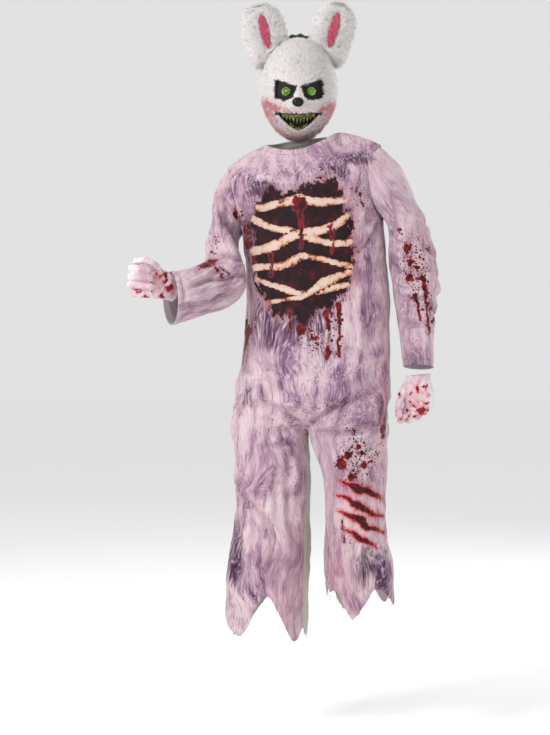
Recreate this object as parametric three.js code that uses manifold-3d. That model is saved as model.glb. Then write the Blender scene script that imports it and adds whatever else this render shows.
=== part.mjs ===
// Zombie rabbit costume as worn: a loose jumpsuit with long set-in sleeves and torn trouser hems,
// a plush rabbit mask on an elastic harness, and a pair of gloves.
// Millimetres, +Z up. The origin is the middle of the neck opening, +X is the wearer's left,
// and -Y is the way that the mask looks. The trunk is turned a little towards the wearer's right.

import * as THREE from 'three';
import { mergeVertices } from 'three/addons/utils/BufferGeometryUtils.js';
import Module from 'manifold-3d';

const wasm = await Module();
wasm.setup();

// Driving dimensions
const CLOTH = 1.6;
const GLOVE_CLOTH = 1.8;
const PLUSH = 9;
const SEAM = 0.3;
const RIGHT = -1;
const LEFT = 1;
const FRONT = 1;
const BACK = -1;

const NECK = { x: 3, y: 0, half: 105, front: 78, back: 64, zFront: -36, zBack: 14, zRight: -6, zLeft: 16 };
const SHOULDER = { reach: 218, turn: 20, zRight: -63, zLeft: -23, bow: 5 };
const ARMHOLE = { front: 66, back: 60, inward: 20, rows: 8 };
const PANEL = { columns: 12, crotchRow: -783, armpitRow: -235, forkTop: -676, hemTop: -1130, hemRows: 4 };
const CROTCH = { x: 18, y: -2 };

// Half sections of the trunk: middle of the section, half sizes across, to the front and to the
// back, its turn in degrees, and how much its left side is lifted per millimetre.
const TRUNK = [
  { z: -235, x: 28, y: 0, wide: 199, front: 124, back: 116, turn: 20, tilt: 0.07 },
  { z: -330, x: 35, y: 0, wide: 197, front: 127, back: 118, turn: 20, tilt: 0.05 },
  { z: -424, x: 40, y: 0, wide: 199, front: 128, back: 116, turn: 20, tilt: 0.03 },
  { z: -513, x: 38, y: 0, wide: 204, front: 124, back: 114, turn: 20, tilt: 0.01 },
  { z: -605, x: 34, y: 0, wide: 209, front: 124, back: 122, turn: 20, tilt: 0 },
  { z: -656, x: 28, y: 0, wide: 216, front: 127, back: 128, turn: 20, tilt: 0 },
  { z: -707, x: 24, y: 0, wide: 218, front: 128, back: 132, turn: 20, tilt: 0 },
  { z: -783, x: 20, y: 0, wide: 219, front: 124, back: 132, turn: 20, tilt: 0 },
];

// Sections of the two trouser legs, in the same terms.
const LEGS = {
  [RIGHT]: [
    { z: -783, x: -86, y: 36, wide: 103, front: 104, back: 104, turn: 20 },
    { z: -860, x: -80, y: 36, wide: 105, front: 102, back: 102, turn: 24 },
    { z: -945, x: -78, y: 34, wide: 104, front: 98, back: 98, turn: 30 },
    { z: -1030, x: -81, y: 32, wide: 108, front: 98, back: 98, turn: 36 },
    { z: -1145, x: -87, y: 30, wide: 115, front: 98, back: 98, turn: 38 },
    { z: -1234, x: -94, y: 30, wide: 121, front: 101, back: 101, turn: 38 },
    { z: -1370, x: -95, y: 30, wide: 122, front: 102, back: 102, turn: 38 },
  ],
  [LEFT]: [
    { z: -783, x: 122, y: -38, wide: 106, front: 104, back: 106, turn: 20 },
    { z: -860, x: 137, y: -40, wide: 92, front: 106, back: 106, turn: 14 },
    { z: -945, x: 142, y: -42, wide: 82, front: 106, back: 106, turn: 4 },
    { z: -1060, x: 141, y: -44, wide: 80, front: 104, back: 104, turn: -4 },
    { z: -1153, x: 150, y: -44, wide: 89, front: 105, back: 105, turn: -9 },
    { z: -1300, x: 157, y: -44, wide: 90, front: 106, back: 106, turn: -10 },
  ],
};

// Torn hems: how far round the leg each corner is, from the outer seam (0) to the inner (1).
const HEMS = {
  [RIGHT]: {
    [FRONT]: [
      { round: 0, z: -1262 }, { round: 3 / 12, z: -1300 }, { round: 5 / 12, z: -1334 },
      { round: 6 / 12, z: -1334 }, { round: 8 / 12, z: -1199 }, { round: 11 / 12, z: -1363 },
      { round: 1, z: -1304 },
    ],
    [BACK]: [
      { round: 0, z: -1262 }, { round: 2 / 12, z: -1325 }, { round: 5 / 12, z: -1205 },
      { round: 8 / 12, z: -1342 }, { round: 10 / 12, z: -1262 }, { round: 11 / 12, z: -1355 },
      { round: 1, z: -1304 },
    ],
  },
  [LEFT]: {
    [FRONT]: [
      { round: 0, z: -1205 }, { round: 2 / 12, z: -1249 }, { round: 5 / 12, z: -1183 },
      { round: 8 / 12, z: -1282 }, { round: 10 / 12, z: -1188 }, { round: 11 / 12, z: -1216 },
      { round: 1, z: -1192 },
    ],
    [BACK]: [
      { round: 0, z: -1205 }, { round: 2 / 12, z: -1262 }, { round: 4 / 12, z: -1180 },
      { round: 7 / 12, z: -1288 }, { round: 9 / 12, z: -1190 }, { round: 11 / 12, z: -1236 },
      { round: 1, z: -1192 },
    ],
  },
};

// The largest folds, as soft ridges (deep > 0) and troughs (deep < 0) along a line that is laid
// over the front or the back: its ends, its half width and its height off the cloth.
const FOLDS = {
  [FRONT]: [
    { x1: 20, z1: -770, x2: 205, z2: -640, wide: 30, deep: -9 },
    { x1: 40, z1: -800, x2: 215, z2: -745, wide: 24, deep: -8 },
    { x1: 60, z1: -700, x2: 215, z2: -560, wide: 30, deep: 7 },
    { x1: 26, z1: -800, x2: 90, z2: -930, wide: 24, deep: -8 },
    { x1: -10, z1: -800, x2: -90, z2: -1010, wide: 28, deep: -7 },
    { x1: -168, z1: -945, x2: -60, z2: -900, wide: 22, deep: 7 },
    { x1: -172, z1: -950, x2: -70, z2: -1060, wide: 26, deep: 8 },
    { x1: -178, z1: -960, x2: -160, z2: -1170, wide: 22, deep: -11 },
    { x1: -205, z1: -980, x2: -195, z2: -1190, wide: 22, deep: 8 },
    { x1: 225, z1: -1075, x2: 150, z2: -1200, wide: 24, deep: -9 },
    { x1: 236, z1: -1090, x2: 236, z2: -1240, wide: 22, deep: 7 },
    { x1: 75, z1: -1000, x2: 95, z2: -1190, wide: 22, deep: -7 },
    { x1: -170, z1: -300, x2: -60, z2: -140, wide: 26, deep: -7 },
    { x1: 215, z1: -280, x2: 130, z2: -110, wide: 28, deep: -8 },
    { x1: 215, z1: -330, x2: 190, z2: -640, wide: 26, deep: -7 },
    { x1: -150, z1: -440, x2: -165, z2: -660, wide: 26, deep: -6 },
  ],
  [BACK]: [
    { x1: -160, z1: -260, x2: 10, z2: -330, wide: 30, deep: -9 },
    { x1: 215, z1: -250, x2: 60, z2: -330, wide: 30, deep: -9 },
    { x1: 30, z1: -420, x2: 45, z2: -640, wide: 34, deep: -9 },
    { x1: 150, z1: -380, x2: 120, z2: -700, wide: 32, deep: 8 },
    { x1: -80, z1: -420, x2: -70, z2: -720, wide: 32, deep: 8 },
    { x1: 20, z1: -780, x2: -90, z2: -900, wide: 28, deep: -9 },
    { x1: 40, z1: -790, x2: 130, z2: -890, wide: 28, deep: -9 },
    { x1: -90, z1: -960, x2: -110, z2: -1190, wide: 26, deep: 8 },
    { x1: 140, z1: -950, x2: 150, z2: -1180, wide: 26, deep: 8 },
  ],
};

// Sleeve rings: the outer or upper edge, the underarm edge, half the depth between the front and
// the back of the tube, and how much the ring swells (> 0) or creases (< 0).
const SLEEVES = {
  [RIGHT]: [
    { outer: [-229, 78, -104], under: [-177, 66, -264], deep: 64, swell: 0 },
    { outer: [-240, 62, -158], under: [-175, 42, -282], deep: 65, swell: -2 },
    { outer: [-247, 38, -212], under: [-170, 14, -305], deep: 66, swell: 2 },
    { outer: [-253, 10, -262], under: [-160, -14, -336], deep: 66, swell: -1 },
    { outer: [-258, -14, -300], under: [-151, -36, -368], deep: 67, swell: 3 },
    { outer: [-262, -28, -320], under: [-146, -48, -398], deep: 68, swell: -5 },
    { outer: [-266, -40, -332], under: [-158, -60, -427], deep: 66, swell: 3 },
    { outer: [-274, -53, -342], under: [-184, -78, -446], deep: 67, swell: -5 },
    { outer: [-287, -63, -349], under: [-216, -92, -460], deep: 66, swell: 4 },
    { outer: [-303, -74, -354], under: [-250, -106, -472], deep: 67, swell: -4 },
    { outer: [-321, -86, -358], under: [-282, -120, -484], deep: 66, swell: 2 },
    { outer: [-339, -97, -361], under: [-311, -132, -494], deep: 65, swell: -1 },
    { outer: [-357, -107, -363], under: [-337, -143, -503], deep: 66, swell: 0 },
  ],
  [LEFT]: [
    { outer: [248, -76, -62], under: [231, -78, -238], deep: 64, swell: 0 },
    { outer: [280, -68, -112], under: [230, -88, -256], deep: 65, swell: 2 },
    { outer: [302, -58, -164], under: [229, -98, -278], deep: 67, swell: -2 },
    { outer: [320, -50, -214], under: [230, -104, -304], deep: 69, swell: 2 },
    { outer: [334, -46, -262], under: [235, -105, -334], deep: 71, swell: -3 },
    { outer: [345, -45, -308], under: [240, -98, -367], deep: 72, swell: 3 },
    { outer: [353, -46, -352], under: [245, -88, -400], deep: 73, swell: -2 },
    { outer: [356, -50, -396], under: [247, -80, -434], deep: 75, swell: 2 },
    { outer: [355, -56, -440], under: [250, -76, -468], deep: 77, swell: -4 },
    { outer: [353, -62, -482], under: [255, -74, -502], deep: 78, swell: 3 },
    { outer: [351, -68, -526], under: [260, -76, -540], deep: 80, swell: -1 },
    { outer: [348, -74, -570], under: [264, -78, -576], deep: 82, swell: 1 },
    { outer: [347, -78, -616], under: [267, -80, -610], deep: 83, swell: 0 },
  ],
};

// The plush mask: a half egg with its rim towards the wearer's ears.
const MASK = { x: -9, rimY: -5, z: 132, half: 101, high: 135, deep: 120, chin: 0.15, crown: 0.06, full: 2.5 };
const MUZZLE = { z: 66, half: 42, high: 34, out: 16 };
const FACE_X = -10.7;
const EYE = [[11, 119], [34, 128], [57, 136], [58, 99], [36, 91], [19, 95]];
const EYE_LIGHT = { x: 33.5, z: 110, radius: 11.2, hole: 1.7, holeRing: 5.6 };
const MOUTH = { corner: [58.5, 59], middle: [0, 49], bottom: [0, 14] };
const NOSE = { x: -2.5, z: 79, half: 16, high: 13, deep: 11, out: 4 };
const TEETH = {
  upper: { upper: true, count: 10, reach: 0.86, in: 1, gum: 3, long: 17 },
  lower: { upper: false, count: 7, reach: 0.46, in: 1, gum: 3, long: 5 },
};
const LIP = { reach: 0.93, near: 0.8, far: 8, high: 4.5 };
// How deep under the mask's surface each thing in its holes lies.
const DEPTH = { teeth: [0.8, 6.2], light: [2.6, 6.2], backing: [6.6, 8.6] };
const EARS = {
  [RIGHT]: { base: [-82, -28, 205], tip: [-119, -24, 367] },
  [LEFT]: { base: [62, -28, 208], tip: [105, -24, 371] },
};
const EAR_SHAPE = [
  { along: 0, half: 36 }, { along: 0.16, half: 44 }, { along: 0.36, half: 52 }, { along: 0.56, half: 57 },
  { along: 0.74, half: 54 }, { along: 0.87, half: 44 }, { along: 0.96, half: 27 }, { along: 1, half: 10 },
];
const EAR = { thick: 17, dent: 8 };
const EAR_PATCH = { from: 0.22, to: 0.8, half: 11, thick: 2 };
const STRAP = { thick: 1.6, wide: 22, z: 186, half: 87, deep: 108 };
const CROWN_STRAP = {
  half: 31, wave: 3.2, waves: 2.5, bow: 6,
  path: [[-4.7, 264], [8, 281], [28, 293], [52, 290], [78, 265], [96, 228], [102, 197.3]],
};
const UNDERLAP = { half: 16, column: 26, firstRow: 1, lastRow: 13, gap: 2 };

// Gloves: the palm as rings across the hand, and each finger as joints along its middle line.
const FINGER = 10.6;
const GLOVES = {
  [RIGHT]: {
    palm: [
      { at: [-338, -120, -404], up: [0.06, 0.1, 1], half: 37, flat: 30 },
      { at: [-362, -138, -399], up: [0.06, 0.05, 1], half: 38, flat: 29 },
      { at: [-392, -150, -390], up: [0.08, 0, 1], half: 43, flat: 25 },
      { at: [-424, -150, -383], up: [0.1, 0, 1], half: 45, flat: 21 },
      { at: [-438, -150, -381], up: [0.1, 0, 1], half: 42, flat: 16 },
    ],
    fingers: [
      [[-434, -152, -358], [-448, -182, -358], [-430, -202, -361], [-399, -197, -365]],
      [[-436, -152, -378], [-449, -185, -379], [-429, -206, -382], [-394, -200, -386]],
      [[-436, -152, -399], [-447, -184, -401], [-426, -204, -403], [-391, -198, -407]],
      [[-430, -152, -419], [-440, -178, -422], [-421, -196, -424], [-392, -192, -427]],
      [[-368, -160, -374], [-384, -186, -348], [-406, -192, -338], [-430, -186, -340]],
    ],
  },
  [LEFT]: {
    palm: [
      { at: [307, -76, -632], up: [-1, 0, -0.1], half: 33, flat: 26 },
      { at: [306, -76, -652], up: [-1, 0, -0.08], half: 35, flat: 24 },
      { at: [307, -78, -676], up: [-1, 0, -0.04], half: 42, flat: 22 },
      { at: [308, -80, -702], up: [-1, 0, 0.08], half: 44, flat: 20 },
      { at: [308, -80, -716], up: [-1, 0, 0.14], half: 40, flat: 15 },
    ],
    fingers: [
      [[280, -80, -714], [268, -84, -742], [261, -64, -760], [267, -44, -742]],
      [[299, -82, -716], [288, -88, -746], [281, -66, -759], [285, -44, -740]],
      [[318, -80, -711], [308, -86, -739], [301, -64, -750], [304, -42, -731]],
      [[336, -77, -700], [327, -81, -725], [320, -61, -735], [321, -42, -719]],
      [[276, -78, -660], [258, -96, -690], [253, -104, -716], [253, -104, -740]],
    ],
  },
};

const COLORS = {
  print: 0xd9c3d3, plain: 0xcfc9c6, plush: 0xefe6e4, pink: 0xe0567c, black: 0x121113,
  green: 0x9fd22a, tooth: 0xa3b04a, glove: 0xe6cfd6, lip: 0xe9c9cc,
};

const vec = (p) => new THREE.Vector3(...p);
const mix = THREE.MathUtils.lerp;
const rad = THREE.MathUtils.degToRad;
const ease = (t) => THREE.MathUtils.smoothstep(t, 0, 1);

/** Material of one finish. */
function finish(color, roughness = 0.8) {
  return new THREE.MeshStandardMaterial({ color, roughness, metalness: 0 });
}

/** Value of a table's column at a height, smooth through the rows, which run downwards. */
function column(table, key, z) {
  const last = table.length - 1;
  if (z >= table[0].z) return table[0][key];
  if (z <= table[last].z) return table[last][key];
  let i = 0;
  while (table[i + 1].z > z) i += 1;
  const t = (z - table[i].z) / (table[i + 1].z - table[i].z);
  const p0 = table[Math.max(i - 1, 0)][key];
  const p3 = table[Math.min(i + 2, last)][key];
  const p1 = table[i][key];
  const p2 = table[i + 1][key];
  const slope1 = (p2 - p0) / 2;
  const slope2 = (p3 - p1) / 2;
  const h = t * t * (3 - 2 * t);
  return mix(p1, p2, h) + slope1 * t * (1 - t) * (1 - t) - slope2 * t * t * (1 - t);
}

/** Section of a table at a height. */
function sectionAt(table, z) {
  const section = { z };
  for (const key of ['x', 'y', 'wide', 'front', 'back', 'turn', 'tilt']) {
    section[key] = key in table[0] ? column(table, key, z) : 0;
  }
  return section;
}

/** Directions across (to the wearer's left) and forwards of something turned by some degrees. */
function axes(turn) {
  const a = rad(turn);
  return {
    across: new THREE.Vector3(Math.cos(a), -Math.sin(a), 0),
    forward: new THREE.Vector3(-Math.sin(a), -Math.cos(a), 0),
  };
}

/** Point on a section, by how far it is across and forwards as shares of the half sizes. */
function onSection(section, across, forward) {
  const dir = axes(section.turn);
  const depth = forward > 0 ? section.front : section.back;
  const point = new THREE.Vector3(section.x, section.y, section.z);
  point.addScaledVector(dir.across, across * section.wide);
  point.addScaledVector(dir.forward, forward * depth);
  point.z += section.tilt * across * section.wide;
  return point;
}

/** Trunk point of one quarter: share 0 is the side seam, share 1 the centre front or back. */
function trunkPoint(side, face, share, z) {
  const a = (share * Math.PI) / 2;
  return onSection(sectionAt(TRUNK, z), side * Math.cos(a), face * Math.sin(a));
}

/** Leg point of one half: share 0 is the outer seam, share 1 the inner seam. */
function legPoint(side, face, share, z) {
  const a = share * Math.PI;
  const section = sectionAt(LEGS[side], z);
  const point = onSection(section, side * Math.cos(a), face * Math.sin(a));
  const fork = ease((z + 880) / (PANEL.crotchRow + 880));
  const inner = onSection(section, -side, 0);
  inner.z = z;
  const pull = new THREE.Vector3(CROTCH.x, CROTCH.y, z).sub(inner).multiplyScalar(fork * share ** 3);
  return point.add(pull);
}

/** Keeps a point of the fork on its own side of the middle, by more the further down it is. */
function ownSide(point, side, share) {
  const dir = axes(SHOULDER.turn);
  const offset = point.clone().sub(new THREE.Vector3(CROTCH.x, CROTCH.y, point.z)).dot(dir.across) * side;
  const least = 24 * (1 - share) + THREE.MathUtils.clamp((PANEL.crotchRow - point.z) * 0.3, 0, 5);
  if (offset < least) point.addScaledVector(dir.across, side * (least - offset));
  return point;
}

/** Trunk and leg joined: the quarter of the trunk turns into the half of the leg at the fork. */
function lowerPoint(side, face, share, z) {
  if (z >= PANEL.forkTop) return trunkPoint(side, face, share, z);
  if (z < PANEL.crotchRow) {
    const leg = legPoint(side, face, share, z);
    return z > -880 ? ownSide(leg, side, share) : leg;
  }
  const down = (PANEL.forkTop - z) / (PANEL.forkTop - PANEL.crotchRow);
  const curved = 1 - Math.sqrt(Math.max(0, 1 - down * down));
  if (share === 1) return trunkPoint(side, face, 1, z).lerp(new THREE.Vector3(CROTCH.x, CROTCH.y, z), curved);
  const t = mix(ease(down), curved, share ** 2);
  return ownSide(trunkPoint(side, face, share, z).lerp(legPoint(side, face, share, z), t), side, share);
}

/** Neckline point: share 0 is the shoulder seam, share 1 the centre front or back. */
function necklinePoint(side, face, share) {
  const a = (share * Math.PI) / 2;
  const dir = axes(SHOULDER.turn);
  const depth = face === FRONT ? NECK.front : NECK.back;
  const zSide = side === LEFT ? NECK.zLeft : NECK.zRight;
  const zMiddle = face === FRONT ? NECK.zFront : NECK.zBack;
  const point = new THREE.Vector3(NECK.x, NECK.y, mix(zSide, zMiddle, Math.sin(a) ** 2));
  point.addScaledVector(dir.across, side * NECK.half * Math.cos(a));
  return point.addScaledVector(dir.forward, face * depth * Math.sin(a));
}

/** Shoulder tip, where the shoulder seam meets the sleeve. */
function shoulderTip(side) {
  const tip = new THREE.Vector3(NECK.x, NECK.y, side === LEFT ? SHOULDER.zLeft : SHOULDER.zRight);
  return tip.addScaledVector(axes(SHOULDER.turn).across, side * SHOULDER.reach);
}

/** Top edge of a panel: the shoulder seam (share 0 to 0.5), then the neckline. */
function topEdge(side, face, share) {
  if (share > 0.5) return necklinePoint(side, face, share * 2 - 1);
  const point = shoulderTip(side).lerp(necklinePoint(side, face, 0), share * 2);
  point.z += SHOULDER.bow * Math.sin(share * 2 * Math.PI);
  return point;
}

/** The top edge without its corner at the neck, which the cloth below it follows. */
function softTop(side, face, share) {
  const tip = shoulderTip(side);
  const neck = necklinePoint(side, face, 0);
  const end = necklinePoint(side, face, 1);
  const out = neck.clone().sub(tip).multiplyScalar(0.8);
  const level = axes(SHOULDER.turn).across.multiplyScalar(side * 62);
  const curve = new THREE.CubicBezierCurve3(tip, tip.clone().add(out), end.clone().add(level), end);
  return curve.getPoint(share);
}

/** Share of the height of the armhole at a share of the way round it. */
const rise = (up) => mix(up, (1 - Math.cos(up * Math.PI)) / 2, 0.5);

/** Armhole edge of a panel: up 0 is the armpit, up 1 the shoulder tip. */
function armholePoint(side, face, up) {
  const dir = axes(SHOULDER.turn);
  const height = rise(up);
  const point = trunkPoint(side, face, 0, PANEL.armpitRow).lerp(shoulderTip(side), height);
  const depth = face === FRONT ? ARMHOLE.front : ARMHOLE.back;
  point.addScaledVector(dir.forward, face * depth * Math.sin(up * Math.PI));
  return point.addScaledVector(dir.across, -side * ARMHOLE.inward * Math.sin(up * Math.PI));
}

/** Yoke point, between the armpit row (up 0) and the top edge (up 1). */
function yokePoint(side, face, share, up) {
  const height = rise(up);
  const plain = (s) => {
    const bottom = trunkPoint(side, face, s, PANEL.armpitRow);
    const top = softTop(side, face, s).lerp(topEdge(side, face, s), height ** 5);
    const z = mix(bottom.z, top.z, height);
    return bottom.lerp(top, height ** 1.7).setZ(z);
  };
  const fade = mix(3, 1.2, ease(height / 0.35));
  const point = plain(share).addScaledVector(armholePoint(side, face, up).sub(plain(0)), (1 - share) ** fade);
  const bulge = (face === FRONT ? 12 : 20) * 4 * share * (1 - share) + (face === FRONT ? 2 : 12) * share;
  const out = axes(SHOULDER.turn).forward.multiplyScalar(face * bulge * Math.sin(height * Math.PI) ** 2);
  return point.add(out);
}

/** Rows of a panel, from the shoulder to the hem, each a function of the share round the body. */
function panelRows(side, face) {
  const rows = [];
  for (let i = ARMHOLE.rows; i > 0; i -= 1) rows.push((share) => yokePoint(side, face, share, i / ARMHOLE.rows));
  const heights = [-235, -281, -331, -381, -431, -481, -531, -581, -630, PANEL.forkTop];
  for (let i = 1; i <= 4; i += 1) {
    heights.push(mix(PANEL.forkTop, PANEL.crotchRow, Math.sin((i / 4) * Math.PI / 2)));
  }
  for (let i = 1; i <= 8; i += 1) heights.push(mix(PANEL.crotchRow, PANEL.hemTop, (i / 8) ** 1.15));
  for (const z of heights) rows.push((share) => lowerPoint(side, face, share, z));
  for (let i = 1; i <= PANEL.hemRows; i += 1) {
    rows.push((share) => {
      const z = mix(PANEL.hemTop, hemHeight(HEMS[side][face], share), i / PANEL.hemRows);
      return legPoint(side, face, share, z);
    });
  }
  return rows;
}

/** Height of a torn hem at a share of the way from the outer seam to the inner. */
function hemHeight(corners, share) {
  let i = 0;
  while (i < corners.length - 2 && corners[i + 1].round < share) i += 1;
  const a = corners[i];
  const b = corners[i + 1];
  return mix(a.z, b.z, THREE.MathUtils.clamp((share - a.round) / (b.round - a.round), 0, 1));
}

/** How far the largest folds lift a point of the front or back off the plain form. */
function foldLift(face, point) {
  let lift = 0;
  for (const fold of FOLDS[face]) {
    const dx = fold.x2 - fold.x1;
    const dz = fold.z2 - fold.z1;
    const along = ((point.x - fold.x1) * dx + (point.z - fold.z1) * dz) / (dx * dx + dz * dz);
    const t = THREE.MathUtils.clamp(along, 0, 1);
    const off = Math.hypot(point.x - fold.x1 - t * dx, point.z - fold.z1 - t * dz) / fold.wide;
    lift += fold.deep * Math.exp(-off * off) * (0.35 + 0.65 * Math.sin(Math.PI * mix(0.12, 0.88, t)));
  }
  return lift;
}

/** Grid of points with its edges marked, as a sheet that is ready to get its thickness. */
function sheet(rows, columns, pointAt, ring = false) {
  const points = [];
  for (let i = 0; i < rows; i += 1) {
    points.push([]);
    for (let j = 0; j < columns; j += 1) points[i].push(pointAt(i, j));
  }
  return { points, rows, columns, ring };
}

/** Normal of a sheet at a grid point, pointing out of the wearer. */
function sheetNormal(grid, i, j) {
  const { points, rows, columns, ring } = grid;
  const up = points[Math.max(i - 1, 0)][j];
  const down = points[Math.min(i + 1, rows - 1)][j];
  const before = ring ? points[i][(j + columns - 1) % columns] : points[i][Math.max(j - 1, 0)];
  const after = ring ? points[i][(j + 1) % columns] : points[i][Math.min(j + 1, columns - 1)];
  return down.clone().sub(up).cross(after.clone().sub(before)).normalize();
}

/** Normals of all sheets, averaged where their edges meet, keyed by place. A sleeve counts as much
 * as the front and the back together where all three meet. */
function sharedNormals(grids) {
  const key = (p) => [p.x, p.y, p.z].map((v) => Math.round(v * 16)).join();
  const sums = new Map();
  for (const grid of grids) {
    grid.points.forEach((row, i) => row.forEach((p, j) => {
      const corner = grid.ring && i === 0 && j % ARMHOLE.rows === 0;
      const n = sheetNormal(grid, i, j).multiplyScalar(grid.outward * (corner ? 2 : 1));
      sums.set(key(p), (sums.get(key(p)) ?? new THREE.Vector3()).add(n));
    }));
  }
  return (p) => sums.get(key(p)).clone().normalize();
}

/** Closed wall from a grid of outer points and the matching inner points. */
function wallGeometry(outer, inner, ring, flip) {
  const rows = outer.length;
  const columns = outer[0].length;
  const positions = [...outer.flat(), ...inner.flat()].flatMap((p) => [p.x, p.y, p.z]);
  const out = (i, j) => i * columns + (j % columns);
  const back = (i, j) => rows * columns + out(i, j);
  const faces = [];
  const quad = (a, b, c, d) => faces.push(...(flip ? [a, c, b, a, d, c] : [a, b, c, a, c, d]));
  const cells = ring ? columns : columns - 1;
  for (let i = 0; i < rows - 1; i += 1) {
    for (let j = 0; j < cells; j += 1) {
      quad(out(i, j), out(i + 1, j), out(i + 1, j + 1), out(i, j + 1));
      quad(back(i, j), back(i, j + 1), back(i + 1, j + 1), back(i + 1, j));
    }
  }
  for (let j = 0; j < cells; j += 1) {
    quad(out(0, j), out(0, j + 1), back(0, j + 1), back(0, j));
    quad(out(rows - 1, j), back(rows - 1, j), back(rows - 1, j + 1), out(rows - 1, j + 1));
  }
  if (!ring) {
    for (let i = 0; i < rows - 1; i += 1) {
      quad(out(i, 0), back(i, 0), back(i + 1, 0), out(i + 1, 0));
      quad(out(i, columns - 1), out(i + 1, columns - 1), back(i + 1, columns - 1), back(i, columns - 1));
    }
  }
  return closedGeometry(positions, faces);
}

/** BufferGeometry from positions and faces. */
function closedGeometry(positions, faces) {
  const geometry = new THREE.BufferGeometry();
  geometry.setAttribute('position', new THREE.Float32BufferAttribute(positions, 3));
  geometry.setIndex(faces);
  return geometry;
}

/** Cloth piece from a sheet: edges drawn in by half a seam, and the wall set inwards. */
function clothGeometry(grid, normalAt, thick) {
  const { points, rows, columns, ring, outward } = grid;
  const outer = points.map((row, i) => row.map((p, j) => {
    const inset = new THREE.Vector3();
    const down = points[Math.min(i + 1, rows - 1)][j].clone().sub(points[Math.max(i - 1, 0)][j]).normalize();
    const left = ring ? (j + columns - 1) % columns : Math.max(j - 1, 0);
    const right = ring ? (j + 1) % columns : Math.min(j + 1, columns - 1);
    const level = points[i][right].clone().sub(points[i][left]).normalize();
    const towards = (q, edge) => {
      const way = q.clone().sub(p);
      inset.add(way.addScaledVector(edge, -way.dot(edge)).normalize());
    };
    if (i === 0) towards(points[1][j], level);
    if (i === rows - 1) towards(points[i - 1][j], level);
    if (!ring && j === 0) towards(points[i][1], down);
    if (!ring && j === columns - 1) towards(points[i][j - 1], down);
    if (!ring && j === columns - 1 && Math.abs(p.z - PANEL.crotchRow) < 40) inset.addScaledVector(grid.away, 0.7);
    return p.clone().addScaledVector(inset, SEAM * 0.8);
  }));
  const inner = outer.map((row, i) => row.map((p, j) => (
    p.clone().addScaledVector(normalAt(points[i][j]), -thick)
  )));
  return wallGeometry(outer, inner, ring, outward < 0);
}

/** Manifold solid of a geometry. */
function solid(geometry) {
  const bare = geometry.clone();
  bare.deleteAttribute('normal');
  bare.deleteAttribute('uv');
  const merged = mergeVertices(bare, 1e-4);
  const made = new wasm.Manifold(new wasm.Mesh({
    numProp: 3,
    vertProperties: new Float32Array(merged.attributes.position.array),
    triVerts: new Uint32Array(merged.index.array),
  }));
  return made;
}

/** Geometry of a Manifold solid. */
function geometryOf(body) {
  const mesh = body.getMesh();
  return closedGeometry([...mesh.vertProperties], [...mesh.triVerts]);
}

/** Closed solid through rings of equal size, with a point in the middle of each end. */
function loft(rings) {
  const count = rings[0].length;
  const positions = rings.flat().flatMap((p) => [p.x, p.y, p.z]);
  const faces = [];
  for (let i = 0; i < rings.length - 1; i += 1) {
    for (let j = 0; j < count; j += 1) {
      const a = i * count + j;
      const b = i * count + ((j + 1) % count);
      faces.push(a, b, b + count, a, b + count, a + count);
    }
  }
  for (const end of [0, rings.length - 1]) {
    const middle = rings[end].reduce((sum, p) => sum.add(p), new THREE.Vector3()).divideScalar(count);
    const tip = positions.length / 3;
    positions.push(middle.x, middle.y, middle.z);
    for (let j = 0; j < count; j += 1) {
      const a = end * count + j;
      const b = end * count + ((j + 1) % count);
      faces.push(...(end === 0 ? [tip, b, a] : [tip, a, b]));
    }
  }
  return outwardGeometry(closedGeometry(positions, faces));
}

/** The same geometry with its faces outwards. */
function outwardGeometry(geometry) {
  return signedVolume(geometry) < 0 ? turnedRound(geometry) : geometry;
}

/** Six times the volume of a closed geometry, negative if its faces point inwards. */
function signedVolume(geometry) {
  const at = geometry.attributes.position;
  const index = geometry.index.array;
  const corner = (k) => new THREE.Vector3().fromBufferAttribute(at, index[k]);
  let sum = 0;
  for (let k = 0; k < index.length; k += 3) sum += corner(k).dot(corner(k + 1).cross(corner(k + 2)));
  return sum;
}

/** The same geometry with its faces turned round. */
function turnedRound(geometry) {
  const index = geometry.index.array;
  for (let k = 0; k < index.length; k += 3) [index[k], index[k + 1]] = [index[k + 1], index[k]];
  return geometry;
}

/** Ring of points from a middle, two directions and two half sizes. */
function ellipse(middle, u, v, halfU, halfV, count) {
  return Array.from({ length: count }, (_, k) => {
    const a = (k / count) * 2 * Math.PI;
    return middle.clone().addScaledVector(u, halfU * Math.cos(a)).addScaledVector(v, halfV * Math.sin(a));
  });
}

/** Round-ended tube along joints, as a glove finger. */
function fingerTube(joints, radius, grow) {
  const curve = new THREE.CatmullRomCurve3(joints.map(vec), false, 'centripetal');
  const steps = 4;
  const frames = curve.computeFrenetFrames(steps, false);
  const rings = [];
  const put = (i, back, size) => {
    const middle = curve.getPointAt(i / steps).addScaledVector(frames.tangents[i], back);
    rings.push(ellipse(middle, frames.normals[i], frames.binormals[i], size, size, 8));
  };
  put(0, -radius * 0.7 - grow, (radius + grow) * 0.55);
  for (let i = 0; i <= steps; i += 1) put(i, 0, (radius + grow) * mix(1, 0.92, i / steps));
  put(steps, (radius + grow) * 0.72, (radius + grow) * 0.6);
  return solid(loft(rings));
}

/** Palm of a glove, grown by some millimetres and longer at the wrist by others. */
function palmSolid(rings, grow, longer) {
  const places = rings.map((ring) => ring.at).map(vec);
  const along = places[1].clone().sub(places[0]).normalize();
  const made = rings.map((ring, i) => {
    const tangent = places[Math.min(i + 1, 4)].clone().sub(places[Math.max(i - 1, 0)]).normalize();
    const up = vec(ring.up).normalize();
    const across = tangent.clone().cross(up).normalize();
    const middle = places[i].clone();
    if (i === 0) middle.addScaledVector(along, -longer);
    if (i === rings.length - 1) middle.addScaledVector(along, grow);
    return ellipse(middle, up, across, ring.half + grow, ring.flat + grow, 12);
  });
  return solid(loft(made));
}

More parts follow.
